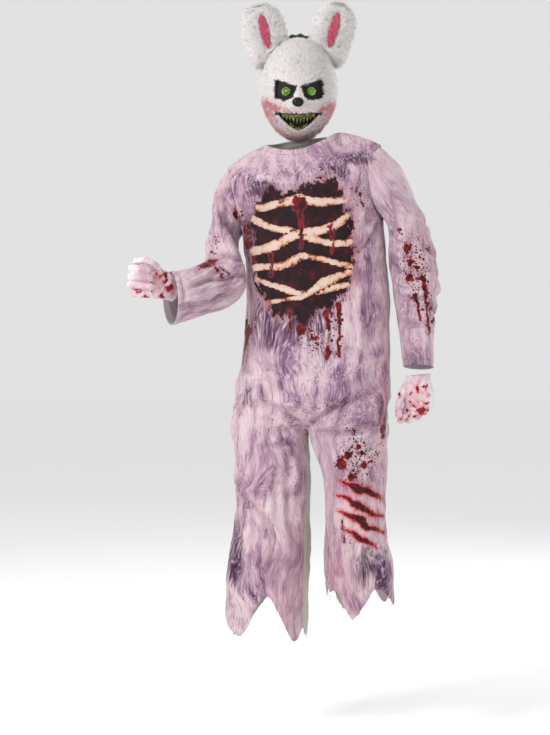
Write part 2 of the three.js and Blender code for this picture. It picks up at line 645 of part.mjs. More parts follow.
/** Glove as a hollow of cloth, open at the wrist. */
function gloveGeometry(glove) {
  const fill = (grow, longer) => glove.fingers.reduce(
    (sum, joints) => sum.add(fingerTube(joints, FINGER, grow)),
    palmSolid(glove.palm, grow, longer),
  );
  return geometryOf(fill(0, 0).subtract(fill(-GLOVE_CLOTH, 12)));
}

/** Sleeve sheet: the armhole first, then a ring for each row of its table. */
function sleeveSheet(side) {
  const count = 2 * ARMHOLE.rows;
  const table = SLEEVES[side];
  const middles = table.map((row) => vec(row.outer).add(vec(row.under)).multiplyScalar(0.5));
  return sheet(table.length + 1, count, (i, j) => {
    if (i === 0) {
      const face = j <= ARMHOLE.rows ? FRONT : BACK;
      return armholePoint(side, face, (j <= ARMHOLE.rows ? j : count - j) / ARMHOLE.rows);
    }
    const row = table[i - 1];
    const half = vec(row.outer).sub(vec(row.under)).multiplyScalar(0.5);
    const tangent = middles[Math.min(i, table.length - 1)].clone().sub(middles[Math.max(i - 2, 0)]);
    const forward = half.clone().cross(tangent).normalize().multiplyScalar(-side);
    forward.lerp(axes(SHOULDER.turn).forward, 1 - ease((i - 1) / 4)).normalize();
    const a = (j / count) * 2 * Math.PI;
    const grow = 1 + (row.swell / row.deep) * (1 - Math.cos(3 * a) * 0.4);
    const point = middles[i - 1].clone().addScaledVector(half, -Math.cos(a));
    return point.addScaledVector(forward, row.deep * grow * Math.sin(a));
  }, true);
}

/** Body panel sheet, one quarter of the jumpsuit from the shoulder to a hem, still without folds. */
function panelSheet(side, face) {
  const rows = panelRows(side, face);
  return sheet(rows.length, PANEL.columns + 1, (i, j) => rows[i](j / PANEL.columns));
}

/** The same sheet with its folds, which die out at the side seam, the inner leg seam and the top. */
function foldedSheet(grid, face, normalAt) {
  const points = grid.points.map((row, i) => row.map((p, j) => {
    const share = j / PANEL.columns;
    const inLeg = ease((PANEL.forkTop + 30 - p.z) / 90);
    const inner = mix(1, ease((1 - share) / 0.3), inLeg);
    const top = THREE.MathUtils.clamp((i - 1) / 5, 0, 1);
    return p.clone().addScaledVector(normalAt(p), foldLift(face, p) * ease(share / 0.3) * inner * top);
  }));
  return { ...grid, points };
}

/** Strip inside the centre-back opening, which carries the hook-and-loop tape. */
function underlapGeometry(right, left, normalAt) {
  const last = PANEL.columns;
  const share = UNDERLAP.half / UNDERLAP.column;
  const layer = (depth) => {
    const made = [];
    for (let i = UNDERLAP.firstRow; i <= UNDERLAP.lastRow; i += 1) {
      const middle = right.points[i][last];
      const normal = normalAt(middle);
      const edge = (grid) => {
        const next = grid.points[i][last - 1];
        const out = normal.clone().lerp(normalAt(next), share).normalize();
        return middle.clone().lerp(next, share).addScaledVector(out, -depth);
      };
      made.push([edge(right), middle.clone().addScaledVector(normal, -depth), edge(left)]);
    }
    return made;
  };
  return outwardGeometry(wallGeometry(layer(CLOTH + UNDERLAP.gap), layer(2 * CLOTH + UNDERLAP.gap), false, false));
}

/** Mask body from the rim to the nose, drawn in by some millimetres and longer behind the rim. */
function maskSolid(inset, deeper = 0) {
  const count = 28;
  const steps = 9;
  const rings = deeper ? [maskRing(Math.PI / 2, inset, count, deeper)] : [];
  for (let i = 0; i < steps; i += 1) rings.push(maskRing(((steps - i) / steps) * Math.PI / 2, inset, count, 0));
  return solid(loft(rings));
}

/** The part of the mask's wall between two depths under its surface. */
function maskLayer(from, to) {
  return maskSolid(from).subtract(maskSolid(to, 30));
}

/** Depth of the mask in front of its rim, for a ring of some size and a place on it. */
function maskDepth(x, z, ring, inset) {
  const reach = Math.max(0, 1 - ring ** MASK.full) ** (1 / MASK.full);
  const muzzle = Math.exp(-((x / MUZZLE.half) ** 2) - ((z + MASK.z - MUZZLE.z) / MUZZLE.high) ** 2);
  return (MASK.deep - inset) * reach + MUZZLE.out * muzzle * reach ** 0.5;
}

/** One ring of the mask: tilt a right angle is the rim, and 0 the middle of the face. */
function maskRing(tilt, inset, count, deeper) {
  return Array.from({ length: count }, (_, k) => {
    const a = (k / count) * 2 * Math.PI;
    const up = Math.sin(a) * Math.sin(tilt);
    const narrow = 1 - (up < 0 ? MASK.chin : MASK.crown) * up * up;
    const x = (MASK.half - inset) * narrow * Math.cos(a) * Math.sin(tilt) ** 0.85;
    const z = (MASK.high - inset) * up;
    const y = MASK.rimY + deeper - maskDepth(x, z, Math.sin(tilt), inset);
    return new THREE.Vector3(MASK.x + x, y, MASK.z + z);
  });
}

/** Straight prism through the mask, from an outline around the middle of the face. */
function throughMask(outline, nearY = -260, farY = -30) {
  const shape = new THREE.Shape(outline.map(([x, z]) => new THREE.Vector2(FACE_X + x, z)));
  const geometry = new THREE.ExtrudeGeometry(shape, { depth: farY - nearY, bevelEnabled: false });
  geometry.rotateX(Math.PI / 2);
  geometry.translate(0, farY, 0);
  return solid(geometry);
}

/** Outline of the mouth: an arched upper edge and a deep lower one, drawn in by some millimetres. */
function mouthOutline(inset = 0) {
  const [cx, cz] = MOUTH.corner;
  const points = [];
  const steps = 10;
  for (let i = 0; i <= steps; i += 1) {
    const t = ((i / steps) * 2 - 1) * (1 - (5 * inset) / cx);
    points.push([t * cx, mix(MOUTH.middle[1], cz, t * t) - inset]);
  }
  for (let i = steps - 1; i > 0; i -= 1) {
    const t = ((i / steps) * 2 - 1) * (1 - (5 * inset) / cx);
    points.push([t * cx, mix(MOUTH.bottom[1], cz, Math.abs(t) ** 1.6) + inset]);
  }
  return points;
}

/** How far forwards the mask's surface is at a place across and up. */
function maskFront(x, z) {
  const up = (z - MASK.z) / MASK.high;
  const wide = x / (MASK.half * (1 - (up < 0 ? MASK.chin : MASK.crown) * up * up));
  let low = 0;
  let high = 1;
  for (let i = 0; i < 30; i += 1) {
    const s = (low + high) / 2;
    if ((wide / s ** 0.85) ** 2 + (up / s) ** 2 > 1) low = s; else high = s;
  }
  return MASK.rimY - maskDepth(x, z - MASK.z, low, 0);
}

/** Outline of an eye hole on one side, drawn in by some millimetres. */
function eyeOutline(side, inset = 0) {
  const middle = EYE.reduce((sum, [x, z]) => [sum[0] + x / EYE.length, sum[1] + z / EYE.length], [0, 0]);
  return EYE.map(([x, z]) => {
    const dx = x - middle[0];
    const dz = z - middle[1];
    const share = 1 - inset / Math.hypot(dx, dz);
    return [side * (middle[0] + dx * share), middle[1] + dz * share];
  });
}

/** Outline of a disc or a hole in it. */
function discOutline(x, z, radius, count) {
  return ellipse(new THREE.Vector3(x, 0, z), new THREE.Vector3(1, 0, 0), new THREE.Vector3(0, 0, 1), radius, radius, count)
    .map((p) => [p.x, p.z]);
}

/** Outline of a row of pointed teeth on a strip of gum that follows an edge of the mouth. */
function teethOutline(row) {
  const edge = (t) => {
    const [cx, cz] = MOUTH.corner;
    const z = row.upper ? mix(MOUTH.middle[1], cz, t * t) : mix(MOUTH.bottom[1], cz, Math.abs(t) ** 1.6);
    return [t * (cx - 6), z + (row.upper ? -1 : 1) * row.in];
  };
  const points = [];
  const steps = row.count * 2;
  const along = (k) => mix(-row.reach, row.reach, k / steps);
  for (let k = 0; k <= steps; k += 1) {
    const [x, z] = edge(along(k));
    const long = row.long * (k % 2 ? 1 - 0.7 * Math.abs(along(k)) ** 1.2 : 0);
    points.push([x, z + (row.upper ? -1 : 1) * (row.gum + long)]);
  }
  for (let k = steps; k >= 0; k -= 1) points.push(edge(along(k)));
  return points;
}

/** Outline of the band under the lower edge of the mouth. */
function lipOutline() {
  const [cx, cz] = MOUTH.corner;
  const at = (t, out) => {
    const z = mix(MOUTH.bottom[1], cz, Math.abs(t) ** 1.6);
    const slope = (1.6 * (cz - MOUTH.bottom[1]) * Math.abs(t) ** 0.6 * Math.sign(t)) / cx;
    const size = Math.hypot(1, slope);
    return [t * cx + (out * slope) / size, z - out / size];
  };
  const points = [];
  for (let k = 0; k <= 14; k += 1) points.push(at(mix(-LIP.reach, LIP.reach, k / 14), LIP.near));
  for (let k = 14; k >= 0; k -= 1) points.push(at(mix(-LIP.reach, LIP.reach, k / 14), LIP.far));
  return points;
}

/** Ear body, grown by some millimetres. */
function earSolid(side, grow) {
  const base = vec(EARS[side].base);
  const along = vec(EARS[side].tip).sub(base);
  const across = new THREE.Vector3(along.z, 0, -along.x).normalize();
  const rings = EAR_SHAPE.map((row) => {
    const middle = base.clone().addScaledVector(along, row.along);
    if (row.along === 1) middle.addScaledVector(along.clone().normalize(), grow);
    const thick = EAR.thick * Math.min(1, row.half / 30) + grow;
    return Array.from({ length: 16 }, (_, k) => {
      const a = (k / 16) * 2 * Math.PI;
      const dent = Math.sin(a) < 0 ? EAR.dent * Math.sin(a) ** 2 * Math.min(1, row.half / 50) : 0;
      const point = middle.clone().addScaledVector(across, (row.half + grow) * Math.cos(a));
      point.y += thick * Math.sin(a) + dent;
      return point;
    });
  });
  return solid(loft(rings));
}

/** Outline of the coloured patch in the middle of an ear, with pointed ends. */
function patchOutline(side) {
  const base = vec(EARS[side].base);
  const along = vec(EARS[side].tip).sub(base);
  const across = new THREE.Vector3(along.z, 0, -along.x).normalize();
  const at = (t, half) => {
    const point = base.clone().addScaledVector(along, mix(EAR_PATCH.from, EAR_PATCH.to, t));
    point.addScaledVector(across, half * Math.sin(Math.PI * t) ** 0.7);
    return [point.x - FACE_X, point.z];
  };
  const points = [];
  for (let k = 0; k <= 8; k += 1) points.push(at(k / 8, EAR_PATCH.half));
  for (let k = 7; k > 0; k -= 1) points.push(at(k / 8, -EAR_PATCH.half));
  return points;
}

/** Elastic band along a line of middles, with its width direction and its thickness. */
function bandGeometry(count, columns, pointAt, thickDirection) {
  const grid = sheet(count, columns, pointAt);
  const inner = grid.points.map((row, i) => row.map((p, j) => (
    p.clone().addScaledVector(thickDirection(i, j, grid), STRAP.thick)
  )));
  return outwardGeometry(wallGeometry(grid.points, inner, false, false));
}

/** Strap round the back of the head, from one side of the mask's rim to the other. */
function sideStrapGeometry() {
  const steps = 20;
  return bandGeometry(steps + 1, 3, (i, j) => {
    const a = (i / steps) * Math.PI;
    const x = MASK.x + STRAP.half * Math.cos(a);
    const y = MASK.rimY + SEAM + STRAP.deep * Math.sin(a);
    return new THREE.Vector3(x, y, STRAP.z + (j - 1) * (STRAP.wide / 2));
  }, (i) => {
    const a = (i / steps) * Math.PI;
    return new THREE.Vector3(-Math.cos(a), i === 0 || i === steps ? 0 : -Math.sin(a), 0).normalize();
  });
}

/** Gathered strap over the crown, from the top of the rim to the side strap. */
function crownStrapGeometry() {
  const path = new THREE.CatmullRomCurve3(CROWN_STRAP.path.map(([y, z]) => new THREE.Vector3(MASK.x, y, z)));
  const steps = 12;
  const columns = 11;
  const frame = (i) => {
    const t = i / steps;
    const tangent = path.getTangentAt(t);
    return { at: path.getPointAt(t), up: new THREE.Vector3(0, -tangent.z, tangent.y) };
  };
  return bandGeometry(steps + 1, columns, (i, j) => {
    const { at, up } = frame(i);
    const u = (j / (columns - 1)) * 2 - 1;
    const middle = Math.sin((i / steps) * Math.PI);
    const half = CROWN_STRAP.half * (1 - 0.25 * (i / steps) ** 2);
    const lift = CROWN_STRAP.wave * middle * Math.sin(u * CROWN_STRAP.waves * Math.PI) - CROWN_STRAP.bow * u * u;
    const point = at.clone().addScaledVector(up, i === steps ? 0 : lift);
    point.x += u * half;
    return point;
  }, (i) => (i === 0 || i === steps ? new THREE.Vector3(0, i ? -1 : 0, i ? 0 : -1) : frame(i).up.clone().negate()));
}

/** Nose: an egg that sits on the muzzle. */
function noseGeometry() {
  const ball = new THREE.SphereGeometry(1, 14, 9);
  ball.scale(NOSE.half, NOSE.deep, NOSE.high);
  ball.translate(FACE_X + NOSE.x, maskFront(FACE_X + NOSE.x - MASK.x, NOSE.z) - NOSE.out, NOSE.z);
  return geometryOf(solid(ball).subtract(maskSolid(-SEAM)));
}

const group = new THREE.Group();

/** Adds a named sub-part. */
function add(name, geometry, color, roughness) {
  geometry.computeVertexNormals();
  const mesh = new THREE.Mesh(geometry, finish(color, roughness));
  mesh.name = name;
  group.add(mesh);
}

const sideName = (side) => (side === RIGHT ? 'right' : 'left');

/** Jumpsuit: four body panels and two sleeves that share their seams. */
function buildJumpsuit() {
  const pieces = [];
  for (const side of [RIGHT, LEFT]) {
    for (const face of [FRONT, BACK]) {
      pieces.push({
        name: `${face === FRONT ? 'front' : 'back'}_${sideName(side)}`,
        grid: {
          ...panelSheet(side, face),
          outward: -side * face,
          away: axes(SHOULDER.turn).across.multiplyScalar(side),
        },
        face,
        color: face === FRONT ? COLORS.print : COLORS.plain,
      });
    }
    pieces.push({
      name: `sleeve_${sideName(side)}`,
      grid: { ...sleeveSheet(side), outward: side },
      color: COLORS.print,
    });
  }
  const plainNormalAt = sharedNormals(pieces.map((piece) => piece.grid));
  for (const piece of pieces) {
    if (piece.face) piece.grid = foldedSheet(piece.grid, piece.face, plainNormalAt);
  }
  const normalAt = sharedNormals(pieces.map((piece) => piece.grid));
  for (const piece of pieces) add(piece.name, clothGeometry(piece.grid, normalAt, CLOTH), piece.color, 0.75);
  const backs = [RIGHT, LEFT].map((side) => pieces.find((piece) => piece.name === `back_${sideName(side)}`).grid);
  add('back_underlap', underlapGeometry(...backs, normalAt), COLORS.plain, 0.8);
}

/** Mask: its plush face, what fills its holes, the lip band and the nose. */
function buildMask() {
  let face = maskSolid(0).subtract(maskSolid(PLUSH, 30)).subtract(throughMask(mouthOutline()));
  for (const side of [RIGHT, LEFT]) face = face.subtract(throughMask(eyeOutline(side)));
  add('mask_face', geometryOf(face), COLORS.plush, 0.95);
  const backing = maskLayer(...DEPTH.backing);
  const teeth = maskLayer(...DEPTH.teeth);
  const inMouth = throughMask(mouthOutline(0.5));
  add('mouth_backing', geometryOf(backing.intersect(inMouth)), COLORS.black, 0.7);
  add('teeth_upper', geometryOf(teeth.intersect(throughMask(teethOutline(TEETH.upper))).intersect(inMouth)), COLORS.tooth, 0.5);
  add('teeth_lower', geometryOf(teeth.intersect(throughMask(teethOutline(TEETH.lower))).intersect(inMouth)), COLORS.tooth, 0.5);
  add('lip_rim', geometryOf(maskLayer(-LIP.high, -SEAM).intersect(throughMask(lipOutline()))), COLORS.lip, 0.9);
  add('nose', noseGeometry(), COLORS.black, 0.4);
  for (const side of [RIGHT, LEFT]) buildEye(side, backing);
}

/** Black mesh of one eye hole and the round light in front of it. */
function buildEye(side, backing) {
  add(`eye_mesh_${sideName(side)}`, geometryOf(backing.intersect(throughMask(eyeOutline(side, 0.6)))), COLORS.black, 0.7);
  const x = side * EYE_LIGHT.x;
  let light = maskLayer(...DEPTH.light).intersect(throughMask(discOutline(x, EYE_LIGHT.z, EYE_LIGHT.radius, 20)));
  for (let k = 0; k < 5; k += 1) {
    const a = (k / 5) * 2 * Math.PI + 0.4;
    const hx = x + EYE_LIGHT.holeRing * Math.cos(a);
    const hz = EYE_LIGHT.z + EYE_LIGHT.holeRing * Math.sin(a);
    light = light.subtract(throughMask(discOutline(hx, hz, EYE_LIGHT.hole, 6)));
  }
  add(`eye_light_${sideName(side)}`, geometryOf(light), COLORS.green, 0.4);
}

/** Ears with their coloured patches. */
function buildEars() {
  const head = maskSolid(-SEAM, 1);
  for (const side of [RIGHT, LEFT]) {
    add(`ear_${sideName(side)}`, geometryOf(earSolid(side, 0).subtract(head)), COLORS.plush, 0.95);
    const shell = earSolid(side, EAR_PATCH.thick + SEAM).subtract(earSolid(side, SEAM));
    const patch = shell.intersect(throughMask(patchOutline(side), -260, EARS[side].base[1] - 1));
    add(`ear_patch_${sideName(side)}`, geometryOf(patch), COLORS.pink, 0.95);
  }
}

/** Elastic harness of the mask. */
function buildStraps() {
  add('strap_side', sideStrapGeometry(), COLORS.black, 0.8);
  add('strap_crown', crownStrapGeometry(), COLORS.black, 0.8);
}

/** Pair of gloves. */
function buildGloves() {
  for (const side of [RIGHT, LEFT]) add(`glove_${sideName(side)}`, gloveGeometry(GLOVES[side]), COLORS.glove, 0.8);
}

buildJumpsuit();
buildMask();
buildEars();
buildStraps();
buildGloves();

export default group;
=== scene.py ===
"""A worn zombie rabbit costume: a printed jumpsuit, a plush mask on elastic, and two gloves.

Each cloth piece is the outer face of its own solid, smoothed, creased and given its thickness
again. The plush is a smooth base under rows of strands. Tables are in millimetres, or
in spots of the front view (2.7 mm each), and meshes are in metres.
"""

import logging
import math
from collections.abc import Callable
from dataclasses import dataclass, field
from enum import Enum
from functools import partial

import bmesh
import bpy
import numpy as np
from bpy.types import Material, Mesh, NodeSocket, NodeTree, Object
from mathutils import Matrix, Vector
from mathutils.bvhtree import BVHTree
from mathutils.kdtree import KDTree

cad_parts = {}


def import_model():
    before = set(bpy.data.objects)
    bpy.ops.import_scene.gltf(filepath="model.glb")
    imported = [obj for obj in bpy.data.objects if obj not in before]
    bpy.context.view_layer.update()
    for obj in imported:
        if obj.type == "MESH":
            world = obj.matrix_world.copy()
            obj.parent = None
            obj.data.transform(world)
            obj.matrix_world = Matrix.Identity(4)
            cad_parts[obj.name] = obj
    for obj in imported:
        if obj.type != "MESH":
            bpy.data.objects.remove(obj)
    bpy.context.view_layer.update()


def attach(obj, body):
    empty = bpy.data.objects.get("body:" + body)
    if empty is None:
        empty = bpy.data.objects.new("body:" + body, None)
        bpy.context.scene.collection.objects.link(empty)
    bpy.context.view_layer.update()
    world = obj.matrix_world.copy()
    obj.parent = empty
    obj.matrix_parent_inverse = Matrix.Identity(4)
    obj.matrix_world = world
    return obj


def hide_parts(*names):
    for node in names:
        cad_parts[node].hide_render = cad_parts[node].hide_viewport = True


LOG = logging.getLogger("costume")
MM = 0.001
JOIN = 0.01 * MM  # Corners of a solid's triangles are this near each other.
BODY = "root"

# What is read from a node, where a call names no output, and how its kind is set.
USUAL_OUTPUTS = {
    "Attribute": "Fac", "Mix": 2, "TexCoord": "Object", "TexNoise": "Fac", "TexVoronoi": "Distance", "TexWave": "Fac",
}
USUAL_SETTINGS = {"Mix": {"data_type": "RGBA"}}
Add = Callable[..., NodeSocket]

# Heights on the legs, in metres: the lowest whole edge, the start of the torn edge, and of its sharp points.
WHOLE_ABOVE = -1.1
TORN_BELOW = -1.14
POINTS_BELOW = -1.15


# Small tools


def linear(code: str) -> tuple[float, float, float, float]:
    """Turns an sRGB hex colour into linear light.

    Args:
        code: The colour, such as "#EFE8E4".

    Returns:
        Red, green and blue in linear light, and 1 for alpha.
    """
    parts = [int(code[i : i + 2], 16) / 255 for i in (1, 3, 5)]
    red, green, blue = (c / 12.92 if c <= 0.04045 else ((c + 0.055) / 1.055) ** 2.4 for c in parts)
    return red, green, blue, 1.0


def add_node(
    tree: NodeTree, kind: str, inputs: dict | None = None, out: int | str | None = None, **settings: object
) -> NodeSocket | None:
    """Adds a node with its settings and links.

    Args:
        tree: The material's node tree.
        kind: The node's type, without the words ShaderNode in front.
        inputs: Sockets to link, and numbers and hex colours to set, by input number or name.
        out: The output wanted, by number or name, where it isn't the usual one.
        settings: The node's own settings. stops gives a ramp's (place, hex colour) pairs.

    Returns:
        The output socket, or nothing from a node that has none.
    """
    node = tree.nodes.new("ShaderNode" + kind)
    stops = settings.pop("stops", ())
    for name, value in {**USUAL_SETTINGS.get(kind, {}), **settings}.items():
        setattr(node, name, value)
    if stops:
        ramp = node.color_ramp
        while len(ramp.elements) < len(stops):
            ramp.elements.new(1.0)
        for element, (place, code) in zip(ramp.elements, stops):
            element.position, element.color = place, linear(code)
    for key, value in (inputs or {}).items():
        if isinstance(value, NodeSocket):
            tree.links.new(value, node.inputs[key])
        else:
            node.inputs[key].default_value = linear(value) if isinstance(value, str) else value
    if not node.outputs:
        return None
    return node.outputs[USUAL_OUTPUTS.get(kind, 0) if out is None else out]


def smoothstep(low: float, high: float, value: np.ndarray) -> np.ndarray:
    """Goes softly from 0 at low to 1 at high."""
    t = np.clip((value - low) / (high - low), 0, 1)
    return t * t * (3 - 2 * t)


def ripple(points: np.ndarray, size: float, seed: int) -> np.ndarray:
    """Soft unevenness without a visible repeat.

    Args:
        points: Places, in any unit.
        size: The usual distance between two crests, in the same unit.
        seed: Which of many such patterns.

    Returns:
        A value from about -1 to 1 for each place.
    """
    rng = np.random.default_rng(seed)
    total = np.zeros(len(points))
    for _ in range(7):
        direction = rng.normal(size=points.shape[1])
        direction *= 2 * math.pi / size * rng.uniform(0.6, 1.4) / np.linalg.norm(direction)
        total += np.sin(points @ direction + rng.uniform(0, 6.3))
    return total / 3.2


def line_distance(spots: np.ndarray, path: tuple) -> tuple[np.ndarray, np.ndarray]:
    """Measures places against a line of straight stretches.

    Args:
        spots: The places, one a row.
        path: The line's corners.

    Returns:
        Each place's distance from the line, and how far along it is, from 0 to 1.
    """
    corners = np.array(path, float)
    lengths = np.linalg.norm(np.diff(corners, axis=0), axis=1)
    best, share, before = np.full(len(spots), 1e9), np.zeros(len(spots)), 0.0
    for a, b, length in zip(corners[:-1], corners[1:], lengths):
        t = np.clip(((spots - a) @ (b - a)) / length**2, 0, 1)
        far = np.linalg.norm(spots - a - t[:, None] * (b - a), axis=1)
        nearer = far < best
        share[nearer] = ((before + t * length) / lengths.sum())[nearer]
        best[nearer] = far[nearer]
        before += length
    return best, share


def outline_depth(spots: np.ndarray, outline: tuple) -> np.ndarray:
    """Depth of places inside a closed outline, below zero outside it.

    Args:
        spots: The places, one a row.
        outline: The outline's corners, in order.

    Returns:
        Each place's distance from the outline.
    """
    far, _ = line_distance(spots, (*outline, outline[0]))
    inside = np.zeros(len(spots), bool)
    for (x1, y1), (x2, y2) in zip(outline, (*outline[1:], outline[0])):
        crosses = (y1 > spots[:, 1]) != (y2 > spots[:, 1])
        inside ^= crosses & (spots[:, 0] < (x2 - x1) * (spots[:, 1] - y1) / (y2 - y1 + 1e-12) + x1)
    return np.where(inside, far, -far)


def places(mesh: Mesh) -> np.ndarray:
    """The places of a mesh's vertices, one a row.

    Args:
        mesh: The mesh.

    Returns:
        A row of three numbers for each vertex, in metres.
    """
    flat = np.empty(len(mesh.vertices) * 3)
    mesh.vertices.foreach_get("co", flat)
    return flat.reshape(-1, 3)


def normals(mesh: Mesh) -> np.ndarray:
    """The directions in which a mesh's vertices face, one a row.

    Args:
        mesh: The mesh.

    Returns:
        A row of three numbers for each vertex.
    """
    flat = np.empty(len(mesh.vertices) * 3, np.float32)
    mesh.vertex_normals.foreach_get("vector", flat)
    return flat.reshape(-1, 3).astype(float)


def move_to(mesh: Mesh, points: np.ndarray) -> None:
    """Puts a mesh's vertices at new places."""
    mesh.vertices.foreach_set("co", points.ravel())
    mesh.update()


def store(mesh: Mesh, name: str, values: np.ndarray) -> None:
    """Keeps a value or a vector at each vertex, for a finish to read.

    Args:
        mesh: The mesh.
        name: The name the finish reads.
        values: One number or three for each vertex.
    """
    vector = values.ndim == 2
    layer = mesh.attributes.new(name, "FLOAT_VECTOR" if vector else "FLOAT", "POINT")
    layer.data.foreach_set("vector" if vector else "value", values.astype(np.float32).ravel())


def piece(name: str, mesh: Mesh) -> Object:
    """Puts a mesh in the scene as a piece that goes with the costume.

    Args:
        name: The name of the piece and of its mesh.
        mesh: The mesh, with its place in it.

    Returns:
        The piece.
    """
    mesh.name = name
    made = bpy.data.objects.new(name, mesh)
    bpy.context.scene.collection.objects.link(made)
    return made


def applied(made: Object) -> Object:
    """Turns a piece's modifiers into its mesh.

    Args:
        made: The piece.

    Returns:
        The same piece.
    """
    graph = bpy.context.evaluated_depsgraph_get()
    mesh = bpy.data.meshes.new_from_object(made.evaluated_get(graph))
    made.modifiers.clear()
    made.data = mesh
    return made


def solid_copy(node: str) -> bmesh.types.BMesh:
    """Copies a solid, with its loose triangles joined."""
    bm = bmesh.new()
    bm.from_mesh(bpy.data.objects[node].data)
    bmesh.ops.remove_doubles(bm, verts=bm.verts, dist=JOIN)
    return bm


def mesh_from(bm: bmesh.types.BMesh) -> Mesh:
    """Turns a bmesh into a new mesh, and frees it."""
    mesh = bpy.data.meshes.new("new")
    bm.to_mesh(mesh)
    bm.free()
    return mesh


def keep_outer(bm: bmesh.types.BMesh) -> None:
    """Keeps the largest of the sheets that don't touch, which is a wall's outer face."""
    sheets, seen = [], set()
    for face in bm.faces:
        if face in seen:
            continue
        sheet, waiting = [], [face]
        seen.add(face)
        while waiting:
            sheet.append(waiting.pop())
            for near in (f for e in sheet[-1].edges for f in e.link_faces if f not in seen):
                seen.add(near)
                waiting.append(near)
        sheets.append(sheet)
    outer = set(max(sheets, key=lambda sheet: sum(f.calc_area() for f in sheet)))
    bmesh.ops.delete(bm, geom=[f for f in bm.faces if f not in outer], context="FACES")


def rounded(made: Object, voxel: float, rounds: int) -> None:
    """Rounds a closed form: one even skin of small faces, then smoothed.

    Args:
        made: The piece.
        voxel: The size of its new faces, in millimetres.
        rounds: How often it is smoothed.
    """
    remesh = made.modifiers.new("round", "REMESH")
    remesh.mode, remesh.voxel_size = "VOXEL", voxel * MM
    soften = made.modifiers.new("soften", "SMOOTH")
    soften.factor, soften.iterations = 0.5, rounds
    applied(made)


def dress(mesh: Mesh, *finishes: "Finish") -> None:
    """Shades a mesh smoothly and gives it its finishes."""
    mesh.shade_smooth()
    mesh.materials.clear()
    for finish in finishes:
        mesh.materials.append(finish.material())


@dataclass(frozen=True)
class FrontView:
    """The camera in front of the costume, and where it sees a point."""

    x: float = -73.0
    z: float = -614.0
    away: float = 4000.0
    lens: float = 72.5
    spot: float = 2.7
    middle: tuple[float, float] = (302.0, 140.0)

    def spots(self, points: np.ndarray) -> np.ndarray:
        """Places of points in the front view, across and down, in spots of 2.7 mm.

        Args:
            points: Places in metres.

        Returns:
            A row of two numbers for each point.
        """
        mm = points / MM
        near = self.away / (self.away + mm[:, 1])
        across = self.middle[0] + (self.x + (mm[:, 0] - self.x) * near) / self.spot
        down = self.middle[1] - (self.z + (mm[:, 2] - self.z) * near) / self.spot
        return np.stack([across, down], axis=1)


VIEW = FrontView()


# Finishes


@dataclass(frozen=True)
class Finish:
    """A material that is mixed from patterns in millimetres of the real cloth, plush or plastic."""

    name: str
    roughness: float = 0.7

    def material(self) -> Material:
        """Makes the material, or gives the one made before.

        Returns:
            The material, with its nodes.
        """
        found = bpy.data.materials.get(self.name)
        if found:
            return found
        made = bpy.data.materials.new(self.name)
        made.use_nodes = True
        made.node_tree.nodes.clear()
        add = partial(add_node, made.node_tree)
        shader = add("BsdfPrincipled", {"Roughness": self.roughness, **self.surface(add)})
        add("OutputMaterial", {"Surface": shader})
        return made

    def surface(self, add: Add) -> dict:
        """Mixes the patterns. Each finish has its own."""
        raise NotImplementedError


def hem_stitches(add: Add, colour: NodeSocket) -> NodeSocket:
    """Darkens the line of stitches 15 mm in from a turned hem, broken every 4 mm.

    Args:
        add: The function that adds a node.
        colour: The cloth's colour so far.

    Returns:
        The colour with the stitches over it.
    """
    hem = add("Attribute", attribute_name="hem")
    place = add("TexCoord")
    holes = add("TexNoise", {"Vector": place, "Scale": 240.0, "Detail": 0.0})
    off = add("Math", {0: add("Math", {0: hem, 1: 15.0}, operation="SUBTRACT")}, operation="ABSOLUTE")
    line = add("MapRange", {0: off, 1: 1.3, 2: 0.5})
    line = add(
        "Math", {0: line, 1: add("MapRange", {0: holes, 1: 0.45, 2: 0.55, 3: 0.2, 4: 0.65})}, operation="MULTIPLY"
    )
    return add("Mix", {0: line, 6: colour, 7: "#6E5A68"})


